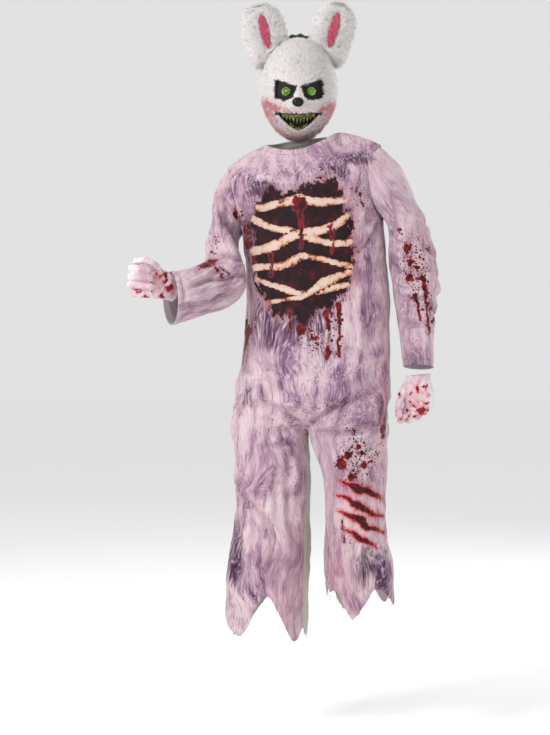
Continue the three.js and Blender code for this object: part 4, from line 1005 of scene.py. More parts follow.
@dataclass(frozen=True)
class Print:
    """Everything that is printed on the front and the sleeves besides the fur."""

    hole: tuple = (
        (262, 196), (271, 188), (284, 192), (296, 189), (305, 183), (318, 178), (332, 181), (343, 190), (346, 204),
        (353, 221), (351, 238), (355, 256), (351, 275), (347, 291), (337, 300), (331, 312), (320, 309), (313, 318),
        (304, 330), (295, 320), (286, 314), (277, 318), (268, 304), (261, 298), (257, 281), (251, 262), (253, 244),
        (247, 226), (254, 212),
    )
    strips: tuple = (
        Run(((257, 208), (302, 198), (347, 203)), 4.0, 4.4, 3.6),
        Run(((252, 219), (300, 238), (350, 240)), 3.6, 4.6, 4.2),
        Run(((253, 252), (298, 236), (349, 219)), 4.2, 4.8, 3.6),
        Run(((252, 268), (302, 259), (350, 265)), 4.4, 4.6, 4.0),
        Run(((255, 281), (300, 291), (347, 286)), 3.6, 4.2, 3.2),
        Run(((263, 307), (300, 295), (349, 272)), 2.6, 3.8, 3.8),
    )
    slashes: tuple = (
        Run(((339, 480), (352, 487), (367, 491), (382, 499)), 0.4, 4.4, 1.6),
        Run(((335, 494), (350, 500), (366, 511), (383, 517)), 0.4, 3.6, 1.4),
        Run(((338, 511), (354, 517), (369, 527), (383, 533)), 0.6, 4.8, 1.2),
        Run(((342, 527), (355, 536), (367, 541), (376, 549)), 0.2, 3.0, 1.0),
    )
    stains: tuple = (
        # Below the hole.
        Run(((338, 305), (340, 322), (339, 355)), 3.2, 1.5, 1.6),
        Run(((326, 312), (329, 330), (328, 345)), 2.6, 1.2, 0.9),
        Blot((328, 352), 3.2, 7.0), Blot((301, 331), 5.2, 5.6), Blot((314, 338), 3.4, 2.8),
        Blot((318, 344), 2.0, 3.2),
        Blot((309, 330), 1.8, 2.2), Run(((290, 312), (290, 323), (291, 329)), 2.0, 1.1, 1.5),
        Blot((299, 203), 7.5, 7.0), Run(((299, 208), (302, 226), (301, 246)), 3.0, 1.6, 1.2),
        Blot((283, 201), 3.0, 2.0),
        Run(((331, 226), (333, 240), (332, 252)), 1.8, 1.0, 1.2),
        Run(((271, 254), (272, 266), (271, 276)), 1.8, 0.9, 1.1),
        # Right side of the trunk, from the armpit down to the hip.
        Blot((236, 214), 3.6, 5.5), Blot((241, 222), 2.2, 2.8), Blot((245, 231), 3.0, 4.6),
        Blot((248, 244), 3.8, 6.0),
        Blot((252, 258), 2.4, 3.6), Run(((247, 322), (245, 343), (242, 368)), 4.6, 3.0, 1.2),
        Blot((250, 331), 2.6, 5.0),
        # Right elbow.
        Run(((202, 266), (208, 263), (216, 260)), 2.0, 4.0, 1.6),
        Run(((214, 266), (220, 273), (224, 279)), 1.2, 1.0, 0.8),
        Run(((219, 267), (226, 271), (229, 277)), 0.8, 1.1, 0.7), Blot((212, 252), 2.2, 2.0),
        Blot((216, 240), 1.6, 2.4),
        # Left sleeve: a thick patch and three runs.
        Blot((407, 249), 3.6, 6.0), Blot((410, 262), 3.8, 5.0), Blot((409, 277), 5.0, 3.8),
        Blot((420, 256), 3.0, 3.2),
        Blot((417, 268), 2.6, 2.6), Blot((422, 277), 4.4, 3.6),
        Run(((415, 295), (418, 306), (420, 320)), 2.8, 1.1, 1.4),
        Run(((424, 278), (426, 300), (429, 332)), 2.8, 1.2, 1.4), Blot((431, 306), 2.2, 3.4),
        Blot((433, 320), 1.6, 2.8),
        Blot((399, 229), 1.6, 2.8), Blot((428, 250), 2.2, 2.4),
        # Left chest and left side.
        Blot((356, 190), 2.2, 1.6), Blot((361, 195), 1.6, 2.4), Blot((362, 203), 2.2, 1.6),
        Blot((383, 430), 2.4, 8.0),
        # Left thigh, above the slashes.
        Blot((348, 455), 3.6, 4.4), Blot((342, 464), 5.8, 6.4), Blot((358, 446), 3.4, 3.6),
        Blot((361, 453), 2.6, 2.0),
        Blot((376, 456), 2.8, 2.0), Blot((364, 465), 3.0, 3.2), Blot((357, 473), 2.0, 1.8),
        Blot((352, 478), 3.8, 3.0),
        Blot((354, 433), 1.4, 2.6), Blot((370, 462), 1.8, 1.6),
        Run(((343, 520), (344, 533), (344, 543)), 1.2, 0.7, 1.1),
    )
    specks: tuple = (
        Haze((360, 197), 14, 20, 0.75), Haze((414, 262), 24, 42, 0.8), Haze((427, 305), 15, 26, 0.55),
        Haze((212, 247), 12, 22, 0.6),
        Haze((316, 344), 22, 18, 0.75), Haze((345, 353), 17, 14, 0.5), Haze((358, 457), 30, 32, 0.85),
        Haze((352, 492), 26, 18, 0.5),
        Haze((300, 385), 30, 20, 0.3), Haze((350, 425), 14, 14, 0.5), Haze((247, 345), 9, 30, 0.45),
        Haze((236, 218), 12, 20, 0.45),
    )
    dark: tuple = (
        Haze((356, 158), 20, 9, 0.75), Haze((333, 172), 22, 10, 0.55), Haze((296, 172), 18, 9, 0.3),
        Haze((262, 188), 20, 12, 0.85),
        Haze((238, 178), 16, 9, 0.35), Haze((232, 160), 16, 7, 0.35), Haze((310, 322), 40, 16, 0.55),
        Haze((262, 322), 18, 24, 0.5),
        Haze((328, 350), 12, 18, 0.5), Haze((284, 340), 24, 18, 0.35), Haze((246, 395), 12, 28, 0.4),
        Haze((300, 372), 40, 14, 0.25),
        Haze((372, 255), 12, 26, 0.25), Haze((383, 415), 7, 24, 0.45), Haze((330, 405), 26, 10, 0.3),
        Haze((238, 455), 10, 22, 0.25),
        Haze((238, 500), 16, 14, 0.3), Haze((233, 552), 11, 40, 0.75), Haze((248, 590), 20, 16, 0.3),
        Haze((272, 530), 22, 10, 0.2),
        Haze((384, 578), 10, 30, 0.7), Haze((366, 562), 12, 24, 0.6), Haze((328, 550), 6, 50, 0.35),
        Haze((352, 590), 14, 14, 0.25),
        Haze((222, 216), 9, 12, 0.3), Haze((245, 235), 7, 20, 0.5), Haze((388, 232), 8, 30, 0.35),
        Haze((425, 300), 9, 30, 0.2),
    )
    pale: tuple = (
        Haze((392, 200), 30, 60, 0.4), Haze((415, 235), 26, 50, 0.35), Haze((420, 320), 26, 45, 0.25),
        Haze((200, 280), 40, 36, 0.35),
        Haze((215, 225), 14, 40, 0.3), Haze((372, 180), 18, 26, 0.25), Haze((290, 158), 30, 10, 0.35),
        Haze((316, 350), 30, 22, 0.4),
        Haze((345, 440), 32, 26, 0.5), Haze((330, 500), 12, 60, 0.5), Haze((290, 560), 22, 60, 0.3),
        Haze((275, 372), 20, 20, 0.25),
        Haze((350, 570), 16, 26, 0.3),
    )
    rosy: tuple = (
        Haze((352, 250), 12, 55, 0.55), Haze((330, 190), 26, 14, 0.5), Haze((283, 300), 40, 22, 0.3),
        Haze((386, 420), 9, 60, 0.55),
        Haze((240, 345), 10, 34, 0.6), Haze((232, 470), 10, 60, 0.3), Haze((360, 500), 34, 42, 0.35),
        Haze((425, 240), 20, 60, 0.2),
        Haze((300, 580), 40, 60, 0.28), Haze((340, 580), 26, 40, 0.3), Haze((205, 262), 18, 12, 0.3),
        Haze((215, 180), 16, 20, 0.25),
        Haze((375, 168), 20, 10, 0.25),
    )

    def dress(self, mesh: Mesh) -> None:
        """Stores the marks at a mesh's vertices.

        Args:
            mesh: A front or a sleeve.
        """
        spots = VIEW.spots(places(mesh))
        facing = smoothstep(-0.05, -0.4, normals(mesh)[:, 1])
        soaked = spots + np.stack(
            [ripple(spots, 9, seed) * 1.5 + ripple(spots, 4, seed + 2) * 0.6 for seed in (71, 72)], axis=1
        )
        jagged = spots + np.stack(
            [ripple(spots, 16, seed) * 1.0 + ripple(spots, 6, seed + 2) * 0.35 for seed in (73, 74)], axis=1
        )
        swayed = spots + np.stack([ripple(spots, 52, seed) * 2.6 for seed in (75, 76)], axis=1)
        for name, hazes in (("dark", self.dark), ("pale", self.pale), ("rosy", self.rosy), ("spatter", self.specks)):
            total = 1 - np.prod([1 - haze.share(spots) for haze in hazes], axis=0)
            store(mesh, name, total * facing if name == "spatter" else total)
        hidden = (1 - facing) * 12
        blood = np.max([mark.depth(jagged if isinstance(mark, Run) else soaked) for mark in self.stains], axis=0)
        store(mesh, "blood", blood - hidden)
        store(mesh, "slash", np.max([mark.depth(jagged) for mark in self.slashes], axis=0) - hidden)
        hole = outline_depth(soaked, self.hole)
        store(mesh, "hole", hole - hidden)
        strip = np.full(len(spots), -9.0)
        for run in self.strips:
            depth = run.depth(swayed) + ripple(spots, 22, 77) * 0.5
            strip = np.where(depth > -1.0, depth, strip)
        store(mesh, "strip", np.minimum(strip, hole * 1.5 + 4) - hidden)


# Cloth

CLOTH_NODES = ("front_right", "front_left", "back_right", "back_left", "sleeve_right", "sleeve_left", "back_underlap")


class Side(Enum):
    """The side that a crease is seen from, and how it is measured there."""

    FRONT = "front"
    BACK = "back"
    RIGHT = "right"
    LEFT = "left"

    def towards(self) -> np.ndarray:
        """The direction towards whoever looks from this side."""
        return np.array(
            {"front": (0, -1, 0), "back": (0, 1, 0), "right": (-1, 0, 0), "left": (1, 0, 0)}[self.value], float
        )

    def flat(self, points: np.ndarray) -> np.ndarray:
        """Places as seen from this side: in millimetres across and up, but in spots at the front.

        Args:
            points: Places in metres.

        Returns:
            A row of two numbers for each place.
        """
        if self is Side.FRONT:
            return VIEW.spots(points)
        return points[:, [0, 2] if self is Side.BACK else [1, 2]] / MM


@dataclass(frozen=True)
class Crease:
    """One trough (deep below zero) or ridge (above zero).

    Its path is in spots at the front and in millimetres on the other sides. Half width and depth
    are in millimetres.
    """

    path: list
    wide: float
    deep: float
    side: Side

    def lift(self, flat: np.ndarray, facing: np.ndarray, seed: int) -> np.ndarray:
        """How far each place is raised, in millimetres.

        Args:
            flat: Places as seen from the crease's side.
            facing: How squarely each place faces that side, from -1 to 1.
            seed: What makes this crease uneven in its own way.

        Returns:
            The rise, below zero in a trough.
        """
        unit = VIEW.spot if self.side is Side.FRONT else 1.0
        swayed = flat + ripple(flat, 60 / unit, seed)[:, None] * (4.0 / unit)
        far, share = line_distance(swayed, self.path)
        across = far * unit / self.wide
        body = np.exp(-(across**1.7)) - 0.28 * np.exp(-((across - 1.9) ** 2) * 1.6)
        taper = np.clip(np.sin(math.pi * np.clip(share, 0.02, 0.98)), 0, 1) ** 0.55
        return self.deep * body * taper * smoothstep(-0.05, 0.4, facing)


def creases(side: Side, *rows: tuple) -> tuple[Crease, ...]:
    """Makes a side's creases from rows: a half width, a depth, and the places along its path."""
    return tuple(Crease(path, wide, deep, side) for wide, deep, *path in rows)


FRONT_CREASES = (
    *creases(
        Side.FRONT,
        # From the neck and the shoulders.
        (9, -4, (262, 166), (250, 178), (236, 190)), (7, -2.6, (283, 168), (272, 180), (262, 186)),
        (8, -3.4, (332, 168), (346, 176), (362, 180)), (9, -4.2, (356, 158), (370, 172), (380, 190)),
        (9, -5, (242, 182), (240, 205), (248, 232)), (7, 3.2, (226, 188), (232, 205), (243, 222)),
        (10, -5.5, (381, 185), (376, 205), (366, 228)), (8, -4.5, (385, 212), (376, 232), (360, 250)),
        (7, 3, (383, 236), (372, 250), (352, 262)),
        # Down the trunk.
        (12, -5, (374, 262), (368, 300), (372, 345)), (9, 3.2, (362, 270), (357, 312), (362, 352)),
        (10, -4.5, (245, 262), (250, 300), (246, 345)), (10, 3.4, (262, 335), (256, 372), (260, 405)),
        (9, -4, (252, 350), (268, 366), (290, 374)), (9, -3.6, (322, 360), (342, 352), (366, 350)),
        (10, 3.6, (240, 372), (262, 384), (286, 386)), (9, 3.6, (376, 362), (352, 376), (326, 382)),
        # From the crotch to the hips.
        (11, -7, (308, 426), (330, 410), (356, 400), (383, 384)),
        (8, 4.2, (312, 430), (338, 424), (362, 416), (384, 402)),
        (9, -6, (316, 432), (342, 433), (366, 428), (385, 420)), (8, 3.4, (322, 440), (345, 446), (372, 444)),
        (11, -5, (301, 424), (285, 412), (262, 404), (240, 402)), (9, 3.6, (299, 428), (280, 424), (256, 424)),
        (8, -3.6, (298, 434), (282, 444), (262, 450)), (8, -4, (312, 436), (322, 452), (332, 470)),
        # Right leg.
        (11, -4.6, (292, 440), (288, 490), (293, 545)), (11, 3.8, (276, 452), (268, 490), (272, 530)),
        (10, -4.4, (254, 440), (250, 475), (240, 500)), (9, 4.4, (234, 494), (252, 488), (272, 494)),
        (9, -4.6, (232, 500), (250, 504), (266, 520), (276, 545)), (9, -6, (234, 506), (240, 540), (238, 585)),
        (9, 4, (246, 512), (252, 550), (248, 600)), (9, -4, (258, 556), (262, 590), (256, 612)),
        (9, 3.4, (286, 556), (282, 590), (290, 620)), (8, -3.6, (272, 540), (270, 565), (264, 590)),
        # Left leg.
        (9, -4.6, (328, 450), (332, 490), (330, 540)), (8, 3, (344, 448), (348, 470), (344, 500)),
        (9, -3.6, (376, 462), (366, 492), (372, 524)), (9, 3.6, (352, 508), (346, 540), (350, 575)),
        (8, -5.6, (372, 540), (364, 565), (366, 592)), (8, 4.2, (380, 545), (384, 575), (382, 600)),
        (8, -4.2, (334, 530), (338, 560), (346, 588)), (7, -3, (358, 545), (354, 570), (357, 600)),
    ),
)
BACK_CREASES = (
    *creases(
        Side.BACK,
        (13, -5, (-40, -20), (-90, -110), (-150, -190)), (13, -5, (60, -20), (120, -90), (180, -170)),
        (14, -6, (-165, -240), (-90, -270), (10, -262)), (14, -6, (210, -220), (130, -262), (60, -262)),
        (11, 4, (-150, -280), (-70, -330), (-10, -345)), (11, 4, (200, -270), (120, -325), (70, -350)),
        (12, 4, (-60, -90), (-66, -180), (-40, -250)), (12, 4, (110, -80), (108, -170), (84, -240)),
        (13, -7, (-120, -380), (-60, -430), (20, -436)), (13, -7, (190, -370), (120, -424), (40, -440)),
        (12, 5, (-130, -420), (-50, -478), (30, -482)), (12, 5, (196, -410), (120, -470), (60, -486)),
        (12, -6, (-110, -470), (-40, -520), (30, -528)), (12, -5, (186, -470), (110, -516), (56, -530)),
        (15, -5, (-100, -540), (-112, -640), (-92, -730)), (15, -5, (140, -540), (156, -640), (140, -730)),
        (14, 4, (-20, -560), (-34, -640), (-20, -720)), (14, 4, (70, -560), (84, -640), (68, -720)),
        (13, -7, (22, -700), (-50, -760), (-140, -780)), (13, -7, (30, -700), (100, -760), (190, -780)),
        (11, 4.5, (10, -750), (-60, -810), (-140, -840)), (11, 4.5, (44, -750), (110, -806), (180, -830)),
        (11, -5, (-10, -800), (-60, -870), (-120, -900)), (11, -5, (60, -800), (110, -866), (170, -890)),
        (11, -5.5, (-140, -960), (-80, -984), (-20, -970)), (11, -5.5, (200, -950), (140, -978), (86, -960)),
        (10, 4, (-150, -1000), (-86, -1020), (-26, -1010)), (10, 4, (204, -990), (146, -1016), (92, -1000)),
        (12, -5, (-120, -1040), (-128, -1140), (-118, -1240)), (12, 4.4, (-60, -1030), (-54, -1140), (-66, -1250)),
        (12, -5, (170, -1030), (178, -1120), (166, -1210)), (12, 4.4, (118, -1020), (112, -1120), (124, -1210)),
    ),
)
SIDE_CREASES = (
    *creases(
        Side.RIGHT,
        (12, -5, (60, -280), (30, -380), (44, -500)), (12, 4, (-30, -300), (-44, -420), (-26, -560)),
        (12, -5.5, (100, -620), (40, -700), (-20, -740)), (11, 4, (104, -680), (50, -770), (0, -820)),
        (12, -5, (80, -860), (40, -940), (-20, -975)), (12, -5, (90, -1010), (60, -1110), (72, -1210)),
        (11, 4, (10, -1000), (-6, -1110), (8, -1230)), (10, -4, (-40, -1020), (-52, -1120), (-44, -1220)),
    ),
    *creases(
        Side.LEFT,
        (12, -5, (10, -280), (-10, -380), (0, -500)), (12, 4, (-70, -300), (-60, -420), (-76, -560)),
        (12, -5.5, (40, -620), (-10, -700), (-90, -740)), (11, 4, (30, -690), (-20, -770), (-90, -820)),
        (12, -5, (20, -880), (-40, -950), (-100, -960)), (11, -5, (0, -1010), (-14, -1100), (-4, -1190)),
        (11, 4, (-80, -1000), (-70, -1090), (-84, -1180)),
    ),
)
RIGHT_SLEEVE_CREASES = (
    *creases(
        Side.FRONT,
        # Upper arm.
        (8, -4, (223, 185), (227, 205), (224, 232)), (7, 3, (213, 200), (218, 222), (213, 246)),
        (7, -4, (244, 232), (233, 228), (222, 236)),
        # Folds that fan out from the inner elbow.
        (7, -5.5, (247, 262), (232, 256), (214, 256)), (6, 4.6, (248, 268), (234, 266), (212, 268), (204, 274)),
        (7, -6, (248, 275), (234, 276), (212, 280), (196, 284)), (6, 4, (246, 283), (232, 287), (212, 292)),
        (7, -5, (243, 290), (228, 296), (206, 302)), (6, 3.2, (236, 298), (218, 304), (198, 310)),
        (7, -3.6, (222, 270), (204, 282), (186, 290)), (6, 2.6, (204, 274), (190, 282), (176, 292)),
        (6, -3, (205, 300), (190, 306), (176, 310)), (6, -2.4, (182, 276), (184, 292), (181, 308)),
    ),
    *creases(
        Side.BACK,
        # Hidden sides.
        (11, -5, (40, -200), (10, -270), (-20, -320)), (11, -5, (-190, -260), (-220, -300), (-250, -330)),
        (9, 4, (-180, -330), (-215, -350), (-255, -356)), (9, -5, (-190, -380), (-225, -384), (-262, -372)),
        (9, 4, (-220, -420), (-260, -416), (-300, -404)), (9, -4, (-240, -446), (-290, -440), (-330, -424)),
    ),
    *creases(
        Side.RIGHT,
        (10, -4.6, (70, -200), (40, -250), (20, -300)), (9, 3.6, (20, -230), (0, -280), (-20, -318)),
    ),
)
LEFT_SLEEVE_CREASES = (
    *creases(
        Side.FRONT,
        # Upper arm.
        (8, -4.4, (392, 190), (398, 212), (396, 238)), (8, 3.2, (405, 196), (412, 218), (410, 240)),
        (7, -4.4, (384, 232), (394, 240), (408, 242)), (7, 3.4, (384, 246), (396, 254), (414, 258)),
        # Elbow.
        (8, -5.4, (389, 262), (400, 272), (420, 274), (434, 268)), (7, 4, (390, 276), (404, 284), (424, 284)),
        (8, -5, (391, 290), (404, 298), (422, 300), (434, 296)), (7, 3.6, (393, 306), (408, 312), (428, 312)),
        (7, -4.6, (395, 318), (410, 326), (430, 322)), (8, 2.8, (400, 252), (402, 290), (404, 322)),
        # Forearm and cuff.
        (6, 3, (400, 330), (414, 340), (430, 338)), (6, -3.4, (402, 342), (416, 350), (431, 348)),
        (6, -2.6, (408, 330), (407, 350), (409, 370)), (6, 2.6, (424, 326), (426, 348), (424, 370)),
    ),
    *creases(
        Side.BACK,
        # Hidden sides.
        (10, -5, (262, -240), (300, -262), (340, -262)), (10, -5, (262, -300), (300, -330), (345, -330)),
        (9, 4, (262, -350), (305, -376), (350, -372)), (10, -5, (264, -410), (306, -430), (350, -424)),
        (9, 4, (268, -480), (306, -496), (348, -488)), (8, -3.6, (272, -540), (306, -552), (344, -548)),
    ),
    *creases(
        Side.LEFT,
        (10, -4.6, (-120, -200), (-80, -240), (-40, -250)), (10, -5, (-130, -300), (-80, -340), (-30, -350)),
        (9, 4, (-140, -370), (-80, -410), (-20, -410)), (9, -4.4, (-150, -450), (-90, -480), (-20, -480)),
    ),
)


class Lie(Enum):
    """How the print lies on a piece: straight down the body, or down the arm."""

    DOWN_BODY = "body"
    DOWN_RIGHT_ARM = "right arm"
    DOWN_LEFT_ARM = "left arm"


ARM_LINES = {
    Lie.DOWN_RIGHT_ARM: (
        (-203, 72, -184), (-208, 26, -258), (-205, -14, -316), (-204, -38, -359), (-229, -66, -394),
        (-276, -92, -413), (-347, -125, -433),
    ),
    Lie.DOWN_LEFT_ARM: (
        (240, -77, -150), (265, -78, -221), (285, -76, -298), (299, -67, -376), (304, -66, -454), (307, -79, -613),
    ),
}


def grain_places(points: np.ndarray, lie: Lie) -> np.ndarray:
    """Places as the cloth lay when it was printed, in metres, its length down the last number.

    Args:
        points: Places on the worn cloth.
        lie: Which way the print lies.

    Returns:
        The places with a bent arm made straight.
    """
    if lie is Lie.DOWN_BODY:
        return points
    line = np.array(ARM_LINES[lie]) * MM
    steps = np.linspace(0, len(line) - 1, 60)
    line = np.stack([np.interp(steps, range(len(line)), line[:, k]) for k in range(3)], axis=1)
    along = np.gradient(line, axis=0)
    along /= np.linalg.norm(along, axis=1)[:, None]
    run = np.concatenate([[0], np.cumsum(np.linalg.norm(np.diff(line, axis=0), axis=1))])
    down = np.array((0.0, 0.0, -1.0))
    offset = points[:, None] - line[None]
    weight = (offset**2).sum(2)
    weight = np.exp(-(weight - weight.min(1)[:, None]) / (2 * 0.02**2))
    weight /= weight.sum(1)[:, None]
    turned = np.empty_like(offset)
    for i, direction in enumerate(along):
        turn = Vector(direction).rotation_difference(Vector(down)).to_matrix()
        turned[:, i] = offset[:, i] @ np.array(turn).T
        turned[:, i, 2] -= run[i]
    return (turned * weight[:, :, None]).sum(1) + line[0] * (1, 1, 0)


@dataclass
class Cloth:
    """One cut piece of the suit, worn.

    Its solid gives the piece its place. Only the outer face of the solid is used: it is smoothed,
    creased and turned back into cloth of its own thickness.
    """

    node: str
    slot: str
    finish: Finish
    inside: Finish
    flat: tuple[float, float]
    area: float
    creases: tuple = ()
    lie: Lie = Lie.DOWN_BODY
    print: Print | None = None
    thick: float = 1.2
    wall: float = 2.3
    fine: int = 3
    pucker: float = 0.5
    fray: float = 3.0
    fold: float = 2.1
    lap: float = 1.1
    hem: float = 15.0
    seed: int = 1

    def outer_face(self) -> Mesh:
        """Takes the outer face of the solid's wall, as a mesh of quads.

        Returns:
            The face, with the torn hem's edge set to stay sharp.
        """
        bm = solid_copy(self.node)
        least = self.wall * MM
        rim = [
            f for f in bm.faces
            if min(e.calc_length() for e in f.edges) < least
            and 2 * f.calc_area() / max(e.calc_length() for e in f.edges) < least
        ]
        bmesh.ops.delete(bm, geom=rim, context="FACES")
        keep_outer(bm)
        bmesh.ops.join_triangles(
            bm, faces=bm.faces[:], angle_face_threshold=math.pi, angle_shape_threshold=math.pi, topology_influence=1.5
        )
        edge = bm.edges.layers.float.new("crease_edge")
        for e in bm.edges:
            e[edge] = float(e.is_boundary and max(v.co.z for v in e.verts) < POINTS_BELOW)
        return mesh_from(bm)

    def edges(self, mesh: Mesh) -> tuple[np.ndarray, np.ndarray, np.ndarray]:
        """Finds the piece's edge.

        Args:
            mesh: The fine mesh.

        Returns:
            Which vertices are on the edge, every vertex's distance from it in millimetres, and the
            way out of the piece at each edge vertex.
        """
        bm = bmesh.new()
        bm.from_mesh(mesh)
        on_edge = np.array([v.is_boundary for v in bm.verts])
        out = np.zeros((len(on_edge), 3))
        for v in bm.verts:
            if v.is_boundary:
                inner = [e.other_vert(v).co for e in v.link_edges if not e.is_boundary]
                if inner:
                    out[v.index] = (v.co - sum(inner, Vector()) / len(inner)).normalized()
        bm.free()
        return on_edge, self.far_from(places(mesh), on_edge), out

    @staticmethod
    def far_from(points: np.ndarray, chosen: np.ndarray) -> np.ndarray:
        """Every place's distance from the nearest chosen one, in millimetres.

        Args:
            points: The places.
            chosen: Which of them are measured from.

        Returns:
            A distance for each place.
        """
        tree = KDTree(int(chosen.sum()))
        for index in np.flatnonzero(chosen):
            tree.insert(points[index], int(index))
        tree.balance()
        return np.array([tree.find(p)[2] for p in points]) / MM

    def free_edge(self, points: np.ndarray, on_edge: np.ndarray) -> np.ndarray:
        """Finds the edges that no other piece is sewn to: the neck, the cuffs and the hems.

        Args:
            points: The piece's vertices.
            on_edge: Which of them are on its edge.

        Returns:
            Which of them are on a free edge.
        """
        near = np.full(len(points), 1.0)
        for node in CLOTH_NODES:
            if node == self.node:
                continue
            other = bpy.data.objects[node].data
            tree = BVHTree.FromPolygons([v.co for v in other.vertices], [p.vertices for p in other.polygons])
            for index in np.flatnonzero(on_edge):
                near[index] = min(near[index], tree.find_nearest(points[index], 0.05)[3] or 1.0)
        return on_edge & (near > 5 * MM)

    def creased(self, made: Object) -> None:
        """Lays the creases, the puckered seams and the torn hem into a fine mesh.

        Args:
            made: The piece, with a fine mesh.
        """
        mesh = made.data
        points, facing = places(mesh), normals(mesh)
        on_edge, inward, out = self.edges(mesh)
        free = self.free_edge(points, on_edge) & (points[:, 2] > WHOLE_ABOVE)
        hem = self.far_from(points, free) if free.any() else np.full(len(points), 99.0)
        store(mesh, "hem", np.minimum(hem, 60.0))
        lift = np.zeros(len(points))
        flats = {side: side.flat(points) for side in Side}
        for number, crease in enumerate(self.creases):
            squarely = facing @ crease.side.towards()
            lift += crease.lift(flats[crease.side], squarely, self.seed * 100 + number)
        # The creases' rise is kept as fold, and the printed knit paints shade into their troughs from it.
        store(mesh, "fold", lift)
        lift *= self.fold
        mm = points / MM
        lift += ripple(mm, 95, self.seed) * 2.0 + ripple(mm * (1, 1, 0.6), 34, self.seed + 5) * 0.8
        lift *= smoothstep(0, 26, inward) * 0.9 + 0.1
        along_seam = ripple(mm, 17, self.seed + 9)
        lift -= self.pucker * np.exp(-((inward / 7) ** 2)) * (1.2 + 0.8 * along_seam)
        # A turned hem is a little thicker, and its stitches pull in a groove.
        lift += 0.5 * smoothstep(self.hem + 1, self.hem - 1, hem) - 0.9 * np.exp(-(((hem - self.hem) / 1.6) ** 2))
        points += facing * (lift * MM)[:, None]
        sewn = on_edge & ~free & (points[:, 2] > TORN_BELOW)
        points[sewn] += out[sewn] * self.lap * MM
        torn = on_edge & (points[:, 2] < TORN_BELOW)
        rough = ripple(mm, 6.5, self.seed + 21) + ripple(mm, 15, self.seed + 22)
        points[torn, 2] += rough[torn] * self.fray * 0.5 * MM
        move_to(mesh, points)

    def build(self) -> Object:
        """Returns:
            The piece.
        """
        made = piece(self.node + "_cloth", self.outer_face())
        smooth = made.modifiers.new("smooth", "SUBSURF")
        smooth.levels = smooth.render_levels = self.fine
        smooth.boundary_smooth = "PRESERVE_CORNERS"
        applied(made)
        self.creased(made)
        mesh = made.data
        store(mesh, "grain", grain_places(places(mesh), self.lie))
        if self.print:
            self.print.dress(mesh)
        dress(mesh, self.finish, self.inside)
        wall = made.modifiers.new("thickness", "SOLIDIFY")
        wall.thickness, wall.offset, wall.use_even_offset = self.thick * MM, -1.0, True
        wall.material_offset = wall.material_offset_rim = 1
        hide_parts(self.node)
        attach(made, BODY)
        LOG.info("%s: %d vertices", made.name, len(mesh.vertices))
        return made


# Plush


